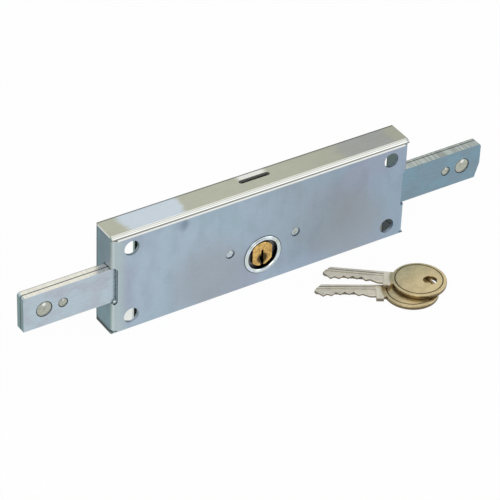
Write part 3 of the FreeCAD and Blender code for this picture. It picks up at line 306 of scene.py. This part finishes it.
def connect(tree, source, socket):
    """Sets an input to a value, or links it to a socket or to a node's first live output."""
    if isinstance(source, bpy.types.Node):
        source = next(output for output in source.outputs if output.enabled)
    if isinstance(source, bpy.types.NodeSocket):
        tree.links.new(source, socket)
    elif source is not None:
        socket.default_value = source


def add(tree, kind, *inputs, **named):
    """Adds a node, with settings and inputs by name and then its live inputs in their order."""
    made = tree.nodes.new("ShaderNode" + kind)
    for name, value in named.items():
        if hasattr(made, name):
            setattr(made, name, value)
        else:
            connect(tree, value, made.inputs[name])
    live = [socket for socket in made.inputs if socket.enabled]
    for socket, source in zip(live, inputs):
        connect(tree, source, socket)
    return made


def new_finish(name):
    """An empty material, its node tree and its object coordinates."""
    material = bpy.data.materials.new(name)
    material.use_nodes = True
    tree = material.node_tree
    tree.nodes.clear()
    return material, tree, add(tree, "TexCoord").outputs["Object"]


def metal(material, tint, rough, heights, metallic=1.0):
    """Gives a material its shader, bumped by pairs of a height and its depth in millimetres."""
    tree = material.node_tree
    normal = None
    for height, depth in heights:
        normal = add(tree, "Bump", 1.0, depth * MM, Height=height, Normal=normal)
    shader = add(tree, "BsdfPrincipled", tint, metallic, rough, Normal=normal)
    add(tree, "OutputMaterial", shader)
    return material


def noise(tree, place, grain, detail=2.0, stretch=(1, 1, 1)):
    """Noise whose blotches are about one grain across, in millimetres, drawn out by a stretch."""
    scaled = add(tree, "Mapping", place, Scale=[1 / part for part in stretch])
    return add(tree, "TexNoise", scaled, 1 / (grain * MM), detail)


def both(tree, *factors):
    """The product of several factors."""
    made = factors[0]
    for factor in factors[1:]:
        made = add(tree, "Math", made, factor, operation="MULTIPLY")
    return made


def mask(tree, *steps, share=1.0):
    """Rises to a share where every step is up.

    A step is a source, the value at which it is still down and the one at which it is up.
    """
    rises = [add(tree, "MapRange", *step, **SMOOTH) for step in steps]
    return both(tree, *rises, share) if share < 1 else both(tree, *rises)


def layered(tree, tint, *layers):
    """Lays colours over a tint in turn, each as far as its factor says."""
    for factor, over in layers:
        tint = add(tree, "Mix", factor, tint, over, **COLOURS)
    return tint


def shade(tree, tint, source, low, high, darkest):
    """Darkens a colour where the source is low."""
    share = add(tree, "MapRange", source, low, high, darkest, 1.0, **SMOOTH)
    return add(tree, "Mix", 1.0, tint, share, blend_type="MULTIPLY", **COLOURS)


def away(tree, across, other, point):
    """Distance of two coordinates from a point."""
    flat = add(tree, "CombineXYZ", across, other)
    return add(tree, "VectorMath", flat, (*point, 0), operation="DISTANCE")


def worn_metal(name, base, patch, patch_grain, stretch, rough, depth):
    """Metal with soft patches, a drawn-out grain and fine pitting.

    The patches show uneven plating or handling, the grain how the stock was rolled or turned.
    """
    material, tree, place = new_finish(name)
    patches = mask(tree, (noise(tree, place, patch_grain), 0.38, 0.72), share=0.55)
    tint = layered(tree, base, (patches, patch))
    grain = noise(tree, place, 0.5, 3.0, stretch)
    tint = shade(tree, tint, grain, *SPREAD, 0.88)
    uneven = add(tree, "MapRange", grain, *SPREAD, rough - 0.05, rough + 0.07, **SMOOTH)
    return metal(material, tint, uneven,
                 ((grain, depth), (noise(tree, place, 1.6), depth * 1.5)))


# Marks on the case, from its middle: places on the face, lengths along the upper flange, and the
# end and the rear of the slot in that flange.
WARM_PATCHES = ((-28 * MM, -12 * MM), (48 * MM, -12 * MM))
HANDLING_MARK = (-41.4 * MM, 21.6 * MM)
PAINTED_REFLECTION = (-71 * MM, -36 * MM)
STAIN = (40 * MM, 74 * MM)
SLOT_END = 8.5 * MM
SLOT_REAR = 10.7 * MM


def case_finish():
    """Blue-passivated zinc on rolled sheet.

    The face shows faint violet and green-blue patches, warmer ones low down and a handling mark,
    and painted shade that darkens it towards the right. The long flanges are warmer as painted
    reflection, with a painted reflection of a bluish light near the left end, a stain near the
    right and painted shade towards the right. The folds carry a painted highlight, with painted
    shade at the right end; the rims are sheared, and the inside is clean. Painted shade darkens
    the slot, the notch by the left bolt and the collar's joint; a highlight is painted behind the
    slot.
    """
    tones = colours()
    material, tree, place = new_finish("case passivated zinc")
    x, y, z = add(tree, "SeparateXYZ", place).outputs
    height = add(tree, "Math", z, operation="ABSOLUTE")
    reach = add(tree, "Math", x, operation="ABSOLUTE")
    broad = noise(tree, place, 30.0, 2.0, (1, 1, 1.4))
    cloud = noise(tree, place, 7.0, 3.0, (1, 1, 2))
    inner_top = CASE_TOP - SHEET
    inner_end = CASE_END - SHEET

    # The face, deeper blue towards the right; the darkening there is painted shade.
    tint = layered(tree, tones.case_blue,
                   (mask(tree, (x, -50 * MM, 60 * MM)), tones.case_shade),
                   (mask(tree, (broad, 0.50, 0.66), share=0.5), tones.case_violet),
                   (mask(tree, (broad, 0.46, 0.30), share=0.5), tones.case_teal))
    tint = shade(tree, tint, cloud, 0.3, 0.6, 0.9)
    warm = add(tree, "Math", *[away(tree, x, z, patch) for patch in WARM_PATCHES],
               operation="MINIMUM")
    mark = add(tree, "Math", both(tree, cloud, 5 * MM), away(tree, x, z, HANDLING_MARK),
               operation="ADD")
    pale_end = mask(tree, (x, -69 * MM, -75 * MM), (y, 2.2 * MM, 1.8 * MM), share=0.85)
    tint = layered(tree, tint,
                   (mask(tree, (warm, 27 * MM, 8 * MM), share=0.65), tones.case_warm),
                   (pale_end, tones.case_end),
                   (mask(tree, (mark, 7.5 * MM, 3.5 * MM), share=0.55), tones.case_mark_and_shade))

    # The long flanges: warm olive as painted reflection, a bluish patch that is a painted
    # reflection of a light, a stain, and painted shade towards the right. The patch and the stain
    # end raggedly.
    ragged = add(tree, "MapRange", cloud, *SPREAD, -1.5 * MM, 1.5 * MM, **SMOOTH)
    edge = add(tree, "Math", x, ragged, operation="ADD")
    # Painted reflection of a bluish light near the left end of the flanges.
    painted_reflection = mask(tree, (edge, PAINTED_REFLECTION[0], PAINTED_REFLECTION[0] + 6 * MM), (edge, PAINTED_REFLECTION[1], PAINTED_REFLECTION[1] - 6 * MM))
    stain = mask(tree, (edge, STAIN[0], STAIN[0] + 10 * MM),
                 (edge, STAIN[1], STAIN[1] - 6 * MM), share=0.4)
    flange = layered(tree, tones.olive_tint_and_reflection, (painted_reflection, tones.bloom_tint_and_reflection),
                     (stain, tones.case_violet))
    # Painted shade: the flanges darken towards the right end.
    flange = shade(tree, flange, x, CASE_END + 0.5 * MM, -20 * MM, 0.82)
    on_flange = mask(tree, (height, CASE_TOP - 0.65 * MM, CASE_TOP - 0.15 * MM))

    # The folds: painted highlight above and at the left, painted shade on the fold at the right.
    near_face = mask(tree, (y, BEND_RADIUS + 0.2 * MM, BEND_RADIUS - 0.4 * MM))
    fold_top = CASE_TOP - BEND_RADIUS
    # Painted highlight along the upper fold and the fold at the left end.
    long_fold = both(tree, mask(tree, (z, fold_top - 0.35 * MM, fold_top + 0.15 * MM)), near_face)
    end_fold = both(tree, mask(tree, (x, 1.3 * MM - CASE_END, 0.8 * MM - CASE_END)), near_face,
                    0.2)
    # Painted shade on the fold at the right end.
    far_fold = both(tree, mask(tree, (x, CASE_END - 1.5 * MM, CASE_END - 0.6 * MM)), near_face,
                    0.5)
    fold = add(tree, "Math", long_fold, end_fold, operation="MAXIMUM")

    # The clean inside, darker towards the right.
    inside = mask(tree, (y, SHEET - 0.2 * MM, SHEET - 0.05 * MM),
                  (height, inner_top + 0.25 * MM, inner_top + 0.1 * MM),
                  (reach, inner_end + 0.2 * MM, inner_end - 0.1 * MM))
    darker_right_inside = layered(tree, tones.inner_zinc,
                    (mask(tree, (x, 45 * MM, 60 * MM), share=0.8), tones.rim_dark))

    # The sheared rims, the walls of the slot among them in painted shade, and a painted highlight
    # behind the slot; the bottom rims and the foot of the left end darker; painted shade in the
    # notch.
    behind_fold = mask(tree, (y, BEND_RADIUS + 0.3 * MM, BEND_RADIUS + 0.7 * MM))
    sheared = both(tree, mask(tree, (z, CASE_TOP - 0.05 * MM, CASE_TOP - 0.2 * MM),
                              (z, inner_top + 0.05 * MM, inner_top + 0.2 * MM)), behind_fold)
    # Painted shade in the walls of the slot.
    by_slot = both(tree, sheared, mask(tree, (reach, SLOT_END + 0.3 * MM, SLOT_END - 0.3 * MM)),
                   0.75)
    # Painted highlight on the flange behind the slot.
    behind_slot = both(tree, on_flange,
                       mask(tree, (reach, SLOT_END + 0.1 * MM, SLOT_END - 3.5 * MM),
                            (y, SLOT_REAR, SLOT_REAR + 0.3 * MM)))
    low_rim = both(tree, mask(tree, (z, -inner_top - 0.1 * MM, -inner_top - 0.25 * MM)),
                   behind_fold, 0.8)
    low_end = mask(tree, (z, 3.25 * MM - CASE_TOP, 1.05 * MM - CASE_TOP),
                   (x, 0.3 * MM - CASE_END, 0.1 * MM - CASE_END), share=0.6)
    bolt_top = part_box("left_bolt_front_plate")[1][2]
    # Painted shade in the notch where the left bolt leaves the face.
    notch = mask(tree, (height, bolt_top + 0.9 * MM, bolt_top + 0.6 * MM),
                 (x, 3.5 * MM - CASE_END, 3.1 * MM - CASE_END),
                 (y, 0.1 * MM, 0.2 * MM), (y, 0.8 * MM, 0.6 * MM))

    # A dark joint round the collar, with painted shadow, and a dirty rim along the rear.
    low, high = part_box("collar")
    from_axis = away(tree, x, z, ((low[0] + high[0]) / 2, (low[2] + high[2]) / 2))
    rim = (high[0] - low[0]) / 2
    # A dark joint and painted shadow round the collar.
    joint = mask(tree, (from_axis, rim + 0.55 * MM, rim + 0.2 * MM), share=0.75)
    rear = mask(tree, (y, CASE_REAR - 0.95 * MM, CASE_REAR - 0.55 * MM), share=0.7)

    tint = layered(tree, tint, (on_flange, flange), (fold, tones.burnish_and_highlight),
                   (far_fold, tones.case_mark_and_shade), (inside, darker_right_inside), (sheared, tones.burnish_and_highlight),
                   (by_slot, tones.recess_shade), (behind_slot, tones.burnish_and_highlight),
                   (low_rim, tones.rim_dark), (low_end, tones.rim_dark), (notch, tones.recess_shade),
                   (joint, tones.rim_dark), (rear, tones.rim_dark))
    grain = noise(tree, place, 0.5, 2.0, (8, 1, 1))
    tint = shade(tree, tint, grain, *SPREAD, 0.95)

    rough = add(tree, "MapRange", cloud, *SPREAD, 0.48, 0.54, **SMOOTH)
    smooth = add(tree, "Math", fold, inside, operation="MAXIMUM")
    rough = both(tree, rough, add(tree, "MapRange", smooth, 0.0, 1.0, 1.0, 0.14, **SMOOTH))
    rough = add(tree, "Math", rough, both(tree, sheared, 0.4), operation="ADD")
    metallic = add(tree, "MapRange", sheared, 0.0, 1.0, 1.0, 0.0, **SMOOTH)
    return metal(material, tint, rough, ((grain, 0.003), (cloud, 0.01)), metallic)


def bolt_finish(side):
    """Zinc on bar, patchy on its faces.

    The hatching on the long edges comes from the shears. A dark line parts the two plates.
    """
    tones = colours()
    face = getattr(tones, side + "_bolt")
    patch = getattr(tones, side + "_bolt_patch")
    cut = getattr(tones, side + "_edge")
    joint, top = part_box(side + "_bolt_front_plate")[1][1:]
    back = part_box(side + "_bolt_rack_plate")[1][1]
    material, tree, place = new_finish(side + " bolt zinc")
    _, y, z = add(tree, "SeparateXYZ", place).outputs
    height = add(tree, "Math", z, operation="ABSOLUTE")
    patches = mask(tree, (noise(tree, place, 9.0), 0.4, 0.68), share=0.8)
    hatch = noise(tree, place, 1.1, 3.0, (1, 14, 14))
    darkest = 0.92 if side == "left" else 0.68
    on_edge = mask(tree, (height, top - 0.14 * MM, top - 0.04 * MM))
    seam = add(tree, "Math", add(tree, "Math", y, joint, operation="SUBTRACT"),
               operation="ABSOLUTE")
    rear_line = both(tree, mask(tree, (y, back - 0.5 * MM, back - 0.25 * MM)), on_edge, 0.7)
    tint = layered(tree, face, (patches, patch),
                   (on_edge, shade(tree, cut, hatch, 0.38, 0.6, darkest)),
                   (mask(tree, (seam, 0.34 * MM, 0.2 * MM)), tones.rim_dark),
                   (rear_line, tones.rim_dark))
    grain = noise(tree, place, 0.5, 3.0, (9, 1, 1))
    tint = shade(tree, tint, grain, *SPREAD, 0.9)
    rough = add(tree, "MapRange", grain, *SPREAD, 0.23, 0.32, **SMOOTH)
    return metal(material, tint, rough,
                 ((grain, 0.004), (both(tree, hatch, on_edge), 0.012)))


def rimmed_finish(name, base, nodes, inset):
    """Riveted round ends: low domes with dark, dirty rims and a painted highlight near the top.

    The inset is how far inside a node's box its rim lies, in millimetres.
    """
    tones = colours()
    material, tree, place = new_finish(name)
    x, _, z = add(tree, "SeparateXYZ", place).outputs
    reach = add(tree, "Math", x, operation="ABSOLUTE")
    dirt_and_shade = 1.0
    dome = 0.0
    painted_gleam = 0.0
    for node in nodes:
        low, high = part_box(node)
        radius = (high[2] - low[2]) / 2
        centre = Vector((high[0] - radius, (high[2] + low[2]) / 2))
        rim = radius - inset * MM
        from_axis = away(tree, reach, z, centre)
        from_crest = away(tree, reach, z, centre + Vector((0, 0.7 * rim)))
        dirt_and_shade = add(tree, "Math", dirt_and_shade, mask(tree, (from_axis, rim - 0.25 * MM, rim)),
                   operation="MINIMUM")
        dome = add(tree, "Math", dome,
                   mask(tree, (from_axis, rim - 0.1 * MM, rim - 0.9 * MM)), operation="MAXIMUM")
        # Painted highlight near the top of each head.
        painted_gleam = add(tree, "Math", painted_gleam, mask(tree, (from_crest, 0.32 * rim, 0.18 * rim)),
                    operation="MAXIMUM")
    speck = noise(tree, place, 0.6, 3.0, (3, 1, 1))
    tint = layered(tree, shade(tree, base, speck, 0.35, 0.65, 0.8), (dirt_and_shade, tones.rim_dark),
                   (painted_gleam, tones.burnish_and_highlight))
    rough = add(tree, "MapRange", speck, *SPREAD, 0.22, 0.36, **SMOOTH)
    return metal(material, tint, rough, ((dome, 0.25), (speck, 0.012)))


def plug_finish():
    """Turned brass, tarnished in patches, painted shade round the keyway and behind the front."""
    tones = colours()
    low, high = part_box("cylinder_plug")
    axis = (low[2] + high[2]) / 2
    front = low[1]
    material, tree, place = new_finish("plug brass")
    x, y, z = add(tree, "SeparateXYZ", place).outputs
    speck = noise(tree, place, 1.2, 3.0)
    tarnish = mask(tree, (speck, 0.42, 0.66), share=0.7)
    # Painted shade round the keyway.
    ragged = add(tree, "Math", away(tree, x, z, (0, axis - 2.2 * MM)),
                 both(tree, speck, 2 * MM), operation="ADD")
    dirt_and_shade = mask(tree, (ragged, 4.6 * MM, 3.0 * MM), share=0.9)
    # Painted shade on everything behind the front of the plug.
    behind_front_shade = mask(tree, (y, front + 0.3 * MM, front + 0.7 * MM), share=0.95)
    dark = add(tree, "Math", dirt_and_shade, behind_front_shade, operation="MAXIMUM")
    tint = layered(tree, tones.brass, (tarnish, tones.brass_dark), (dark, tones.recess_shade))
    rough = add(tree, "MapRange", speck, *SPREAD, 0.2, 0.32, **SMOOTH)
    return metal(material, tint, rough, ((speck, 0.012),))


def collar_finish():
    """Bright nickel, with painted shade inside the bore."""
    tones = colours()
    low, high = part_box("collar")
    axis = ((low[0] + high[0]) / 2, (low[2] + high[2]) / 2)
    bore = (high[0] - low[0]) / 2 - 1.9 * MM
    material, tree, place = new_finish("collar nickel")
    x, _, z = add(tree, "SeparateXYZ", place).outputs
    cloud = noise(tree, place, 4.0)
    # Painted shade inside the bore.
    dirt_and_shade = mask(tree, (away(tree, x, z, axis), bore + 0.15 * MM, bore - 0.1 * MM))
    tint = layered(tree, tones.collar, (mask(tree, (cloud, 0.42, 0.66)), tones.bloom_tint_and_reflection),
                   (dirt_and_shade, tones.recess_shade))
    rough = add(tree, "MapRange", cloud, *SPREAD, 0.1, 0.2, **SMOOTH)
    return metal(material, tint, rough, ((noise(tree, place, 1.6), 0.004),))


def key_finish(node):
    """Nickel silver: warm bow, bright milled blade, painted shade in grooves and on sides."""
    tones = colours()
    centre = bow_centre(node)
    material, tree, place = new_finish(node + " nickel silver")
    x, y, z = add(tree, "SeparateXYZ", place).outputs
    from_bow = away(tree, x, y, centre[:2])
    on_blade = mask(tree, (from_bow, BOW_RADIUS + 0.3 * MM, BOW_RADIUS + 1.5 * MM))
    cloud = noise(tree, place, 4.0, 3.0)
    tint = layered(tree, tones.key_bow, (on_blade, tones.key_blade))
    tint = shade(tree, tint, cloud, 0.35, 0.6, 0.88)
    down = add(tree, "Math", centre.z, z, operation="SUBTRACT")
    start = add(tree, "MapRange", on_blade, 0.0, 1.0, 0.12 * MM, 0.03 * MM, **SMOOTH)
    below_face = add(tree, "Math", down, start, operation="SUBTRACT")
    # Painted shade in the grooves and along the edges, and on the sides below the upper face.
    groove = mask(tree, (below_face, 0.0, 0.03 * MM), (down, 0.29 * MM, 0.27 * MM), share=0.85)
    side = mask(tree, (down, 0.4 * MM, 0.5 * MM), share=0.8)
    key_shading = add(tree, "Math", groove, side, operation="MAXIMUM")
    tint = layered(tree, tint, (key_shading, tones.key_painted_shade))
    speck = noise(tree, place, 0.35)
    rough = add(tree, "Math", add(tree, "MapRange", speck, *SPREAD, 0.26, 0.36, **SMOOTH),
                both(tree, on_blade, 0.2), operation="ADD")
    metallic = add(tree, "MapRange", on_blade, 0.0, 1.0, 1.0, 0.75, **SMOOTH)
    return metal(material, tint, rough, ((speck, 0.006), (cloud, 0.015)), metallic)


FINISHES = {}


def finish(name):
    """The named finish, made when it is first asked for."""
    tones = colours()
    rivets = ("right_bolt_hard_pin", "right_bolt_rivet", "right_bolt_inner_rivet")
    makers = {
        # Cool, dull sheet with brighter folds.
        "case": case_finish,
        # Warm and dark in the middle of the bright collar.
        "plug": plug_finish,
        "collar": collar_finish,
        # Small warm mirrors on the floor, brighter on the blades.
        "key_lower": lambda: key_finish("key_lower"),
        "key_upper": lambda: key_finish("key_upper"),
        # Bars that mirror more than the case does, and the round ends of what holds them.
        "left_bolt": lambda: bolt_finish("left"),
        "right_bolt": lambda: bolt_finish("right"),
        "rivet": lambda: rimmed_finish("ground rivet steel", tones.rivet, rivets, 0.2),
        "pillar": lambda: rimmed_finish("riveted pillar zinc", tones.pillar, ("pillars",), 0.6),
        # Bright rolled plate, seen through the holes of the case.
        "plate": lambda: worn_metal("rolled zinc plate", tones.inner_zinc, tones.case_teal,
                                    16.0, (8, 1, 1), 0.3, 0.004),
        # Fine rings from the lathe on posts and screws.
        "turned": lambda: worn_metal("turned zinc steel", tones.inner_steel, tones.olive_tint_and_reflection,
                                     3.0, (1, 0.3, 1), 0.3, 0.006),
        # Dull, dark and grainy beside the plated steel.
        "gear": lambda: worn_metal("sintered gear steel", tones.gear, tones.inner_steel,
                                   5.0, (1, 1, 1), 0.42, 0.015),
        # Warm and a little tarnished at the rear.
        "brass": lambda: worn_metal("cylinder brass", tones.brass, tones.brass_dark,
                                    3.0, (1, 1, 1), 0.26, 0.008),
    }
    if name not in FINISHES:
        FINISHES[name] = makers[name]()
    return FINISHES[name]


class LOCK_OT_case(bpy.types.Operator):
    """Folded sheet case with softened cut edges"""
    bl_idname = "lock.case"
    bl_label = "Case"

    def execute(self, context):
        softened_node("case_shell", "folded_case", sizes().sheet_edge,
                      finish("case"))
        return {"FINISHED"}


class LOCK_OT_carrier(bpy.types.Operator):
    """Guide plate and back cover, with their posts, pins, pillars and screws"""
    bl_idname = "lock.carrier"
    bl_label = "Carrier and screws"

    def execute(self, context):
        for node, name, slot, look in (
                ("guide_plate", "bevelled_guide_plate", "plate_zinc", "plate"),
                ("back_cover", "bevelled_back_cover", "plate_zinc", "plate"),
                ("flange_screws", "slotted_flange_screws", "screw_zinc", "turned"),
                ("cover_screws", "slotted_cover_screws", "screw_zinc", "turned")):
            softened_node(node, name, sizes().plate_edge, finish(look))
        dress(("spacer_posts", "guide_pins", "idler_axle"), finish("turned"))
        dress(("pillars",), finish("pillar"))
        return {"FINISHED"}


class LOCK_OT_bolts(bpy.types.Operator):
    """Both bolts: riveted plates with softened edges"""
    bl_idname = "lock.bolts"
    bl_label = "Bolts"

    def execute(self, context):
        for side in ("left", "right"):
            for plate in ("front_plate", "rack_plate"):
                node = side + "_bolt_" + plate
                softened_node(node, "bevelled_" + node, sizes().bolt_edge,
                              finish(side + "_bolt"))
            dress([side + "_bolt_" + rivet for rivet in ("hard_pin", "rivet", "inner_rivet")],
                  finish("rivet"))
        return {"FINISHED"}


# The front of the collar from its bore outwards: two rolled beads with a groove between them,
# as millimetres in from the rim and back from the front.
COLLAR_PROFILE = ((2.2, 1.05), (1.6, 0.08), (1.48, 0.0), (1.2, 0.0), (1.1, 0.15), (0.85, 0.15),
                  (0.75, 0.04), (0.5, 0.04), (0.25, 0.2), (0.0, 0.45))
COLLAR_LEDGE = 1.5 * MM  # how far its rim laps over the face of the case
COLLAR_EDGE = 0.05 * MM


class LOCK_OT_collar(bpy.types.Operator):
    """Rolled nickel collar round the keyhole"""
    bl_idname = "lock.collar"
    bl_label = "Collar"

    def execute(self, context):
        low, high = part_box("collar")
        centre = Vector(((low[0] + high[0]) / 2, 0, (low[2] + high[2]) / 2))
        radius = (high[0] - low[0]) / 2
        front = low[1]
        rear = high[1]
        neck = radius - COLLAR_LEDGE
        bore = radius - COLLAR_PROFILE[0][0] * MM
        profile = [(radius - inset * MM, front + back * MM) for inset, back in COLLAR_PROFILE]
        profile += [(radius, 0.0), (neck, 0.0), (neck, rear), (bore, rear)]
        piece = turned_ring("rolled_collar", profile, centre, upright=False)
        soften(piece, COLLAR_EDGE)
        stands_for(piece, "collar", finish("collar"))
        return {"FINISHED"}


class LOCK_OT_cylinder(bpy.types.Operator):
    """Brass cylinder with its plug, and the steel parts in and on it"""
    bl_idname = "lock.cylinder"
    bl_label = "Cylinder"

    def execute(self, context):
        softened_node("cylinder_plug", "bevelled_plug", sizes().brass_edge,
                      finish("plug"))
        softened_node("cylinder_housing", "bevelled_housing", sizes().brass_edge,
                      finish("brass"))
        dress(("key_pins", "driver_pins", "chamber_stoppers"), finish("brass"))
        dress(("plug_clip", "pin_springs", "plug_gear", "cluster_gear"), finish("gear"))
        return {"FINISHED"}


class LOCK_OT_keys(bpy.types.Operator):
    """Pair of coined keys with a ring groove along the rim of the bow"""
    bl_idname = "lock.keys"
    bl_label = "Keys"

    def execute(self, context):
        for node in ("key_lower", "key_upper"):
            piece = merged_copy(node, "coined_" + node)
            cut_ring(piece, bow_centre(node), sizes().rim_groove)
            soften(piece, sizes().key_edge)
            stands_for(piece, node, finish(node))
        return {"FINISHED"}


def bow_centre(node):
    """The middle of a key's bow, on its upper face: the bow is the right-hand end of the key."""
    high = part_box(node)[1]
    mesh = frame["nodes"][node].data
    right = max((point.co for point in mesh.vertices), key=lambda co: co.x)
    return Vector((high[0] - BOW_RADIUS, right.y, high[2]))


def cut_ring(piece, centre, radius):
    """Cuts a shallow ring into the upper face of a bow."""
    half = sizes().groove_width / 2
    depth = sizes().groove_depth
    cutter = turned_ring("cutter", [
        (radius - half, -depth), (radius + half, -depth), (radius + half, depth),
        (radius - half, depth)], centre, upright=True)
    only(piece)
    cut = piece.modifiers.new("Ring groove", "BOOLEAN")
    cut.operation = "DIFFERENCE"
    cut.solver = "EXACT"
    cut.object = cutter
    bpy.ops.object.modifier_apply(modifier=cut.name)
    bpy.data.objects.remove(cutter)


class LOCK_OT_stage(bpy.types.Operator):
    """Pale floor, soft studio light and the camera"""
    bl_idname = "lock.stage"
    bl_label = "Stage"

    def execute(self, context):
        lay_floor()
        light_studio(context.scene)
        place_camera(context.scene)
        context.scene.view_settings.view_transform = "Standard"
        return {"FINISHED"}


def lay_floor():
    """White to the camera and in reflections, but it keeps a soft shadow.

    Beside the left end of the case and behind it, reflections show a dark card of painted shadow.
    """
    bpy.ops.object.select_all(action="DESELECT")
    bpy.ops.mesh.primitive_plane_add(size=8.0, location=(0, 0, FLOOR - 0.02 * MM))
    floor = bpy.context.active_object
    floor.name = "studio_floor"
    studio = bpy.context.scene.lock_studio
    white = colours().floor
    material, tree, place = new_finish("studio floor")
    path = add(tree, "LightPath").outputs
    x, y, _ = add(tree, "SeparateXYZ", place).outputs
    # Painted shadow: dark floor beside and behind the case, seen only in reflections.
    beside = mask(tree, (x, -CASE_END - 0.1 * MM, -CASE_END - 1.1 * MM),
                  (y, 0.5 * MM, 3 * MM))
    behind = mask(tree, (x, CASE_END - 1.5 * MM, CASE_END - 3.5 * MM),
                  (y, CASE_REAR - 0.25 * MM, CASE_REAR + 1.75 * MM))
    shadowed = add(tree, "Math", beside, behind, operation="MAXIMUM")
    mirrored = add(tree, "Emission", layered(tree, white, (shadowed, colours().mirrored_shadow)), 1.0)
    seen = both(tree, path["Is Camera Ray"], studio.floor_white)
    in_view = add(tree, "MixShader", seen, add(tree, "BsdfDiffuse", white),
                  add(tree, "Emission", white, 1.0))
    indirect = add(tree, "Math", path["Is Glossy Ray"], path["Is Transmission Ray"],
                   operation="ADD")
    in_metal = both(tree, indirect, studio.floor_mirror)
    add(tree, "OutputMaterial", add(tree, "MixShader", in_metal, in_view, mirrored))
    floor.data.materials.append(material)


def soft_light(name, place, size, power, tint):
    """A square soft light turned towards the lock."""
    lamp = bpy.data.lights.new(name, "AREA")
    lamp.size = size
    lamp.energy = power
    lamp.color = tint
    holder = bpy.data.objects.new(name, lamp)
    bpy.context.collection.objects.link(holder)
    holder.location = place
    holder.rotation_euler = (-Vector(place)).to_track_quat("-Z", "Y").to_euler()


# What metal mirrors above the horizon, from in front of the lock to behind it:
# the direction's share towards the rear, its level and how warm it is.
SOFT_BOXES = (
    (-1.00, 0.40, 1.00), (-0.87, 0.32, 1.00), (-0.78, 0.32, 1.00), (-0.73, 1.35, 1.00),
    (-0.54, 1.35, 1.00), (-0.48, 0.55, 0.97), (-0.36, 0.55, 0.97), (-0.30, 1.05, 0.97),
    (0.14, 1.05, 0.97), (0.22, 0.42, 0.94), (0.36, 0.42, 0.94), (0.42, 1.15, 0.97),
    (0.56, 1.15, 0.97), (0.63, 0.92, 0.97), (1.00, 0.92, 0.97))


def light_studio(scene):
    studio = scene.lock_studio
    soft_light("key_light", (-0.9, -0.9, 1.3), 0.9, studio.key_light, (1.0, 0.98, 0.95))
    soft_light("fill_light", (1.2, -0.6, 0.7), 0.8, studio.fill_light, (0.93, 0.96, 1.0))
    world = bpy.data.worlds.new("studio")
    scene.world = world
    world.use_nodes = True
    tree = world.node_tree
    tree.nodes.clear()
    path = add(tree, "LightPath").outputs
    direction = add(tree, "SeparateXYZ", add(tree, "TexCoord").outputs["Generated"]).outputs
    boxes = add(tree, "ValToRGB", add(tree, "MapRange", direction["Y"], -1.0, 1.0))
    stops = boxes.color_ramp.elements
    for index, (rearward, level, warmth) in enumerate(SOFT_BOXES):
        where = (rearward + 1) / 2
        stop = stops[index] if index < len(stops) else stops.new(where)
        stop.position = where
        stop.color = (level, level, level * warmth, 1.0)
    white = (1.0, 1.0, 1.0, 1.0)
    unmirrored = add(tree, "Background", white, studio.sky)
    lit = add(tree, "MixShader", path["Is Glossy Ray"], unmirrored,
              add(tree, "Background", boxes, 1.0))
    seen = add(tree, "Math", path["Is Camera Ray"], path["Is Transmission Ray"],
               operation="MAXIMUM")
    in_view = add(tree, "Background", white, 1.0)
    add(tree, "OutputWorld", add(tree, "MixShader", seen, lit, in_view))


def place_camera(scene):
    studio = scene.lock_studio
    across = math.cos(studio.elevation)
    back = Vector((-math.sin(studio.azimuth) * across, -math.cos(studio.azimuth) * across,
                   math.sin(studio.elevation)))
    right = Vector((math.cos(studio.azimuth), -math.sin(studio.azimuth), 0))
    up = back.cross(right)
    lean = Matrix.Rotation(studio.roll, 3, back)
    turned = Matrix((lean @ right, lean @ up, back)).transposed()
    data = bpy.data.cameras.new("photo_camera")
    data.lens = studio.lens
    camera = bpy.data.objects.new("photo_camera", data)
    scene.collection.objects.link(camera)
    camera.matrix_world = (Matrix.Translation(Vector(studio.aim) + back * studio.distance)
                           @ turned.to_4x4())
    scene.camera = camera


OPERATORS = (LOCK_OT_case, LOCK_OT_carrier, LOCK_OT_bolts, LOCK_OT_collar, LOCK_OT_cylinder,
             LOCK_OT_keys, LOCK_OT_stage)


class LOCK_PT_panel(bpy.types.Panel):
    """Sizes, colours and makers of the lock"""
    bl_idname = "LOCK_PT_panel"
    bl_label = "Garage Door Lock"
    bl_space_type = "VIEW_3D"
    bl_region_type = "UI"
    bl_category = "Lock"

    def draw(self, context):
        for group in (context.scene.lock_sizes, context.scene.lock_colours,
                      context.scene.lock_studio):
            box = self.layout.box()
            for name in group.bl_rna.properties.keys():
                if name not in ("rna_type", "name"):
                    box.prop(group, name)
        for operator in OPERATORS:
            self.layout.operator(operator.bl_idname)


GROUPS = {"lock_sizes": LockSizes, "lock_colours": LockColours, "lock_studio": LockStudio}


def register():
    for entry in (*GROUPS.values(), *OPERATORS, LOCK_PT_panel):
        bpy.utils.register_class(entry)
    for name, group in GROUPS.items():
        setattr(bpy.types.Scene, name, PointerProperty(type=group))


def unregister():
    for name in GROUPS:
        delattr(bpy.types.Scene, name)
    for entry in (LOCK_PT_panel, *reversed(OPERATORS), *GROUPS.values()):
        bpy.utils.unregister_class(entry)


def main():
    register()
    bpy.ops.lock.case()
    bpy.ops.lock.carrier()
    bpy.ops.lock.bolts()
    bpy.ops.lock.collar()
    bpy.ops.lock.cylinder()
    bpy.ops.lock.keys()
    bpy.ops.lock.stage()


if __name__ == "__main__":
    main()
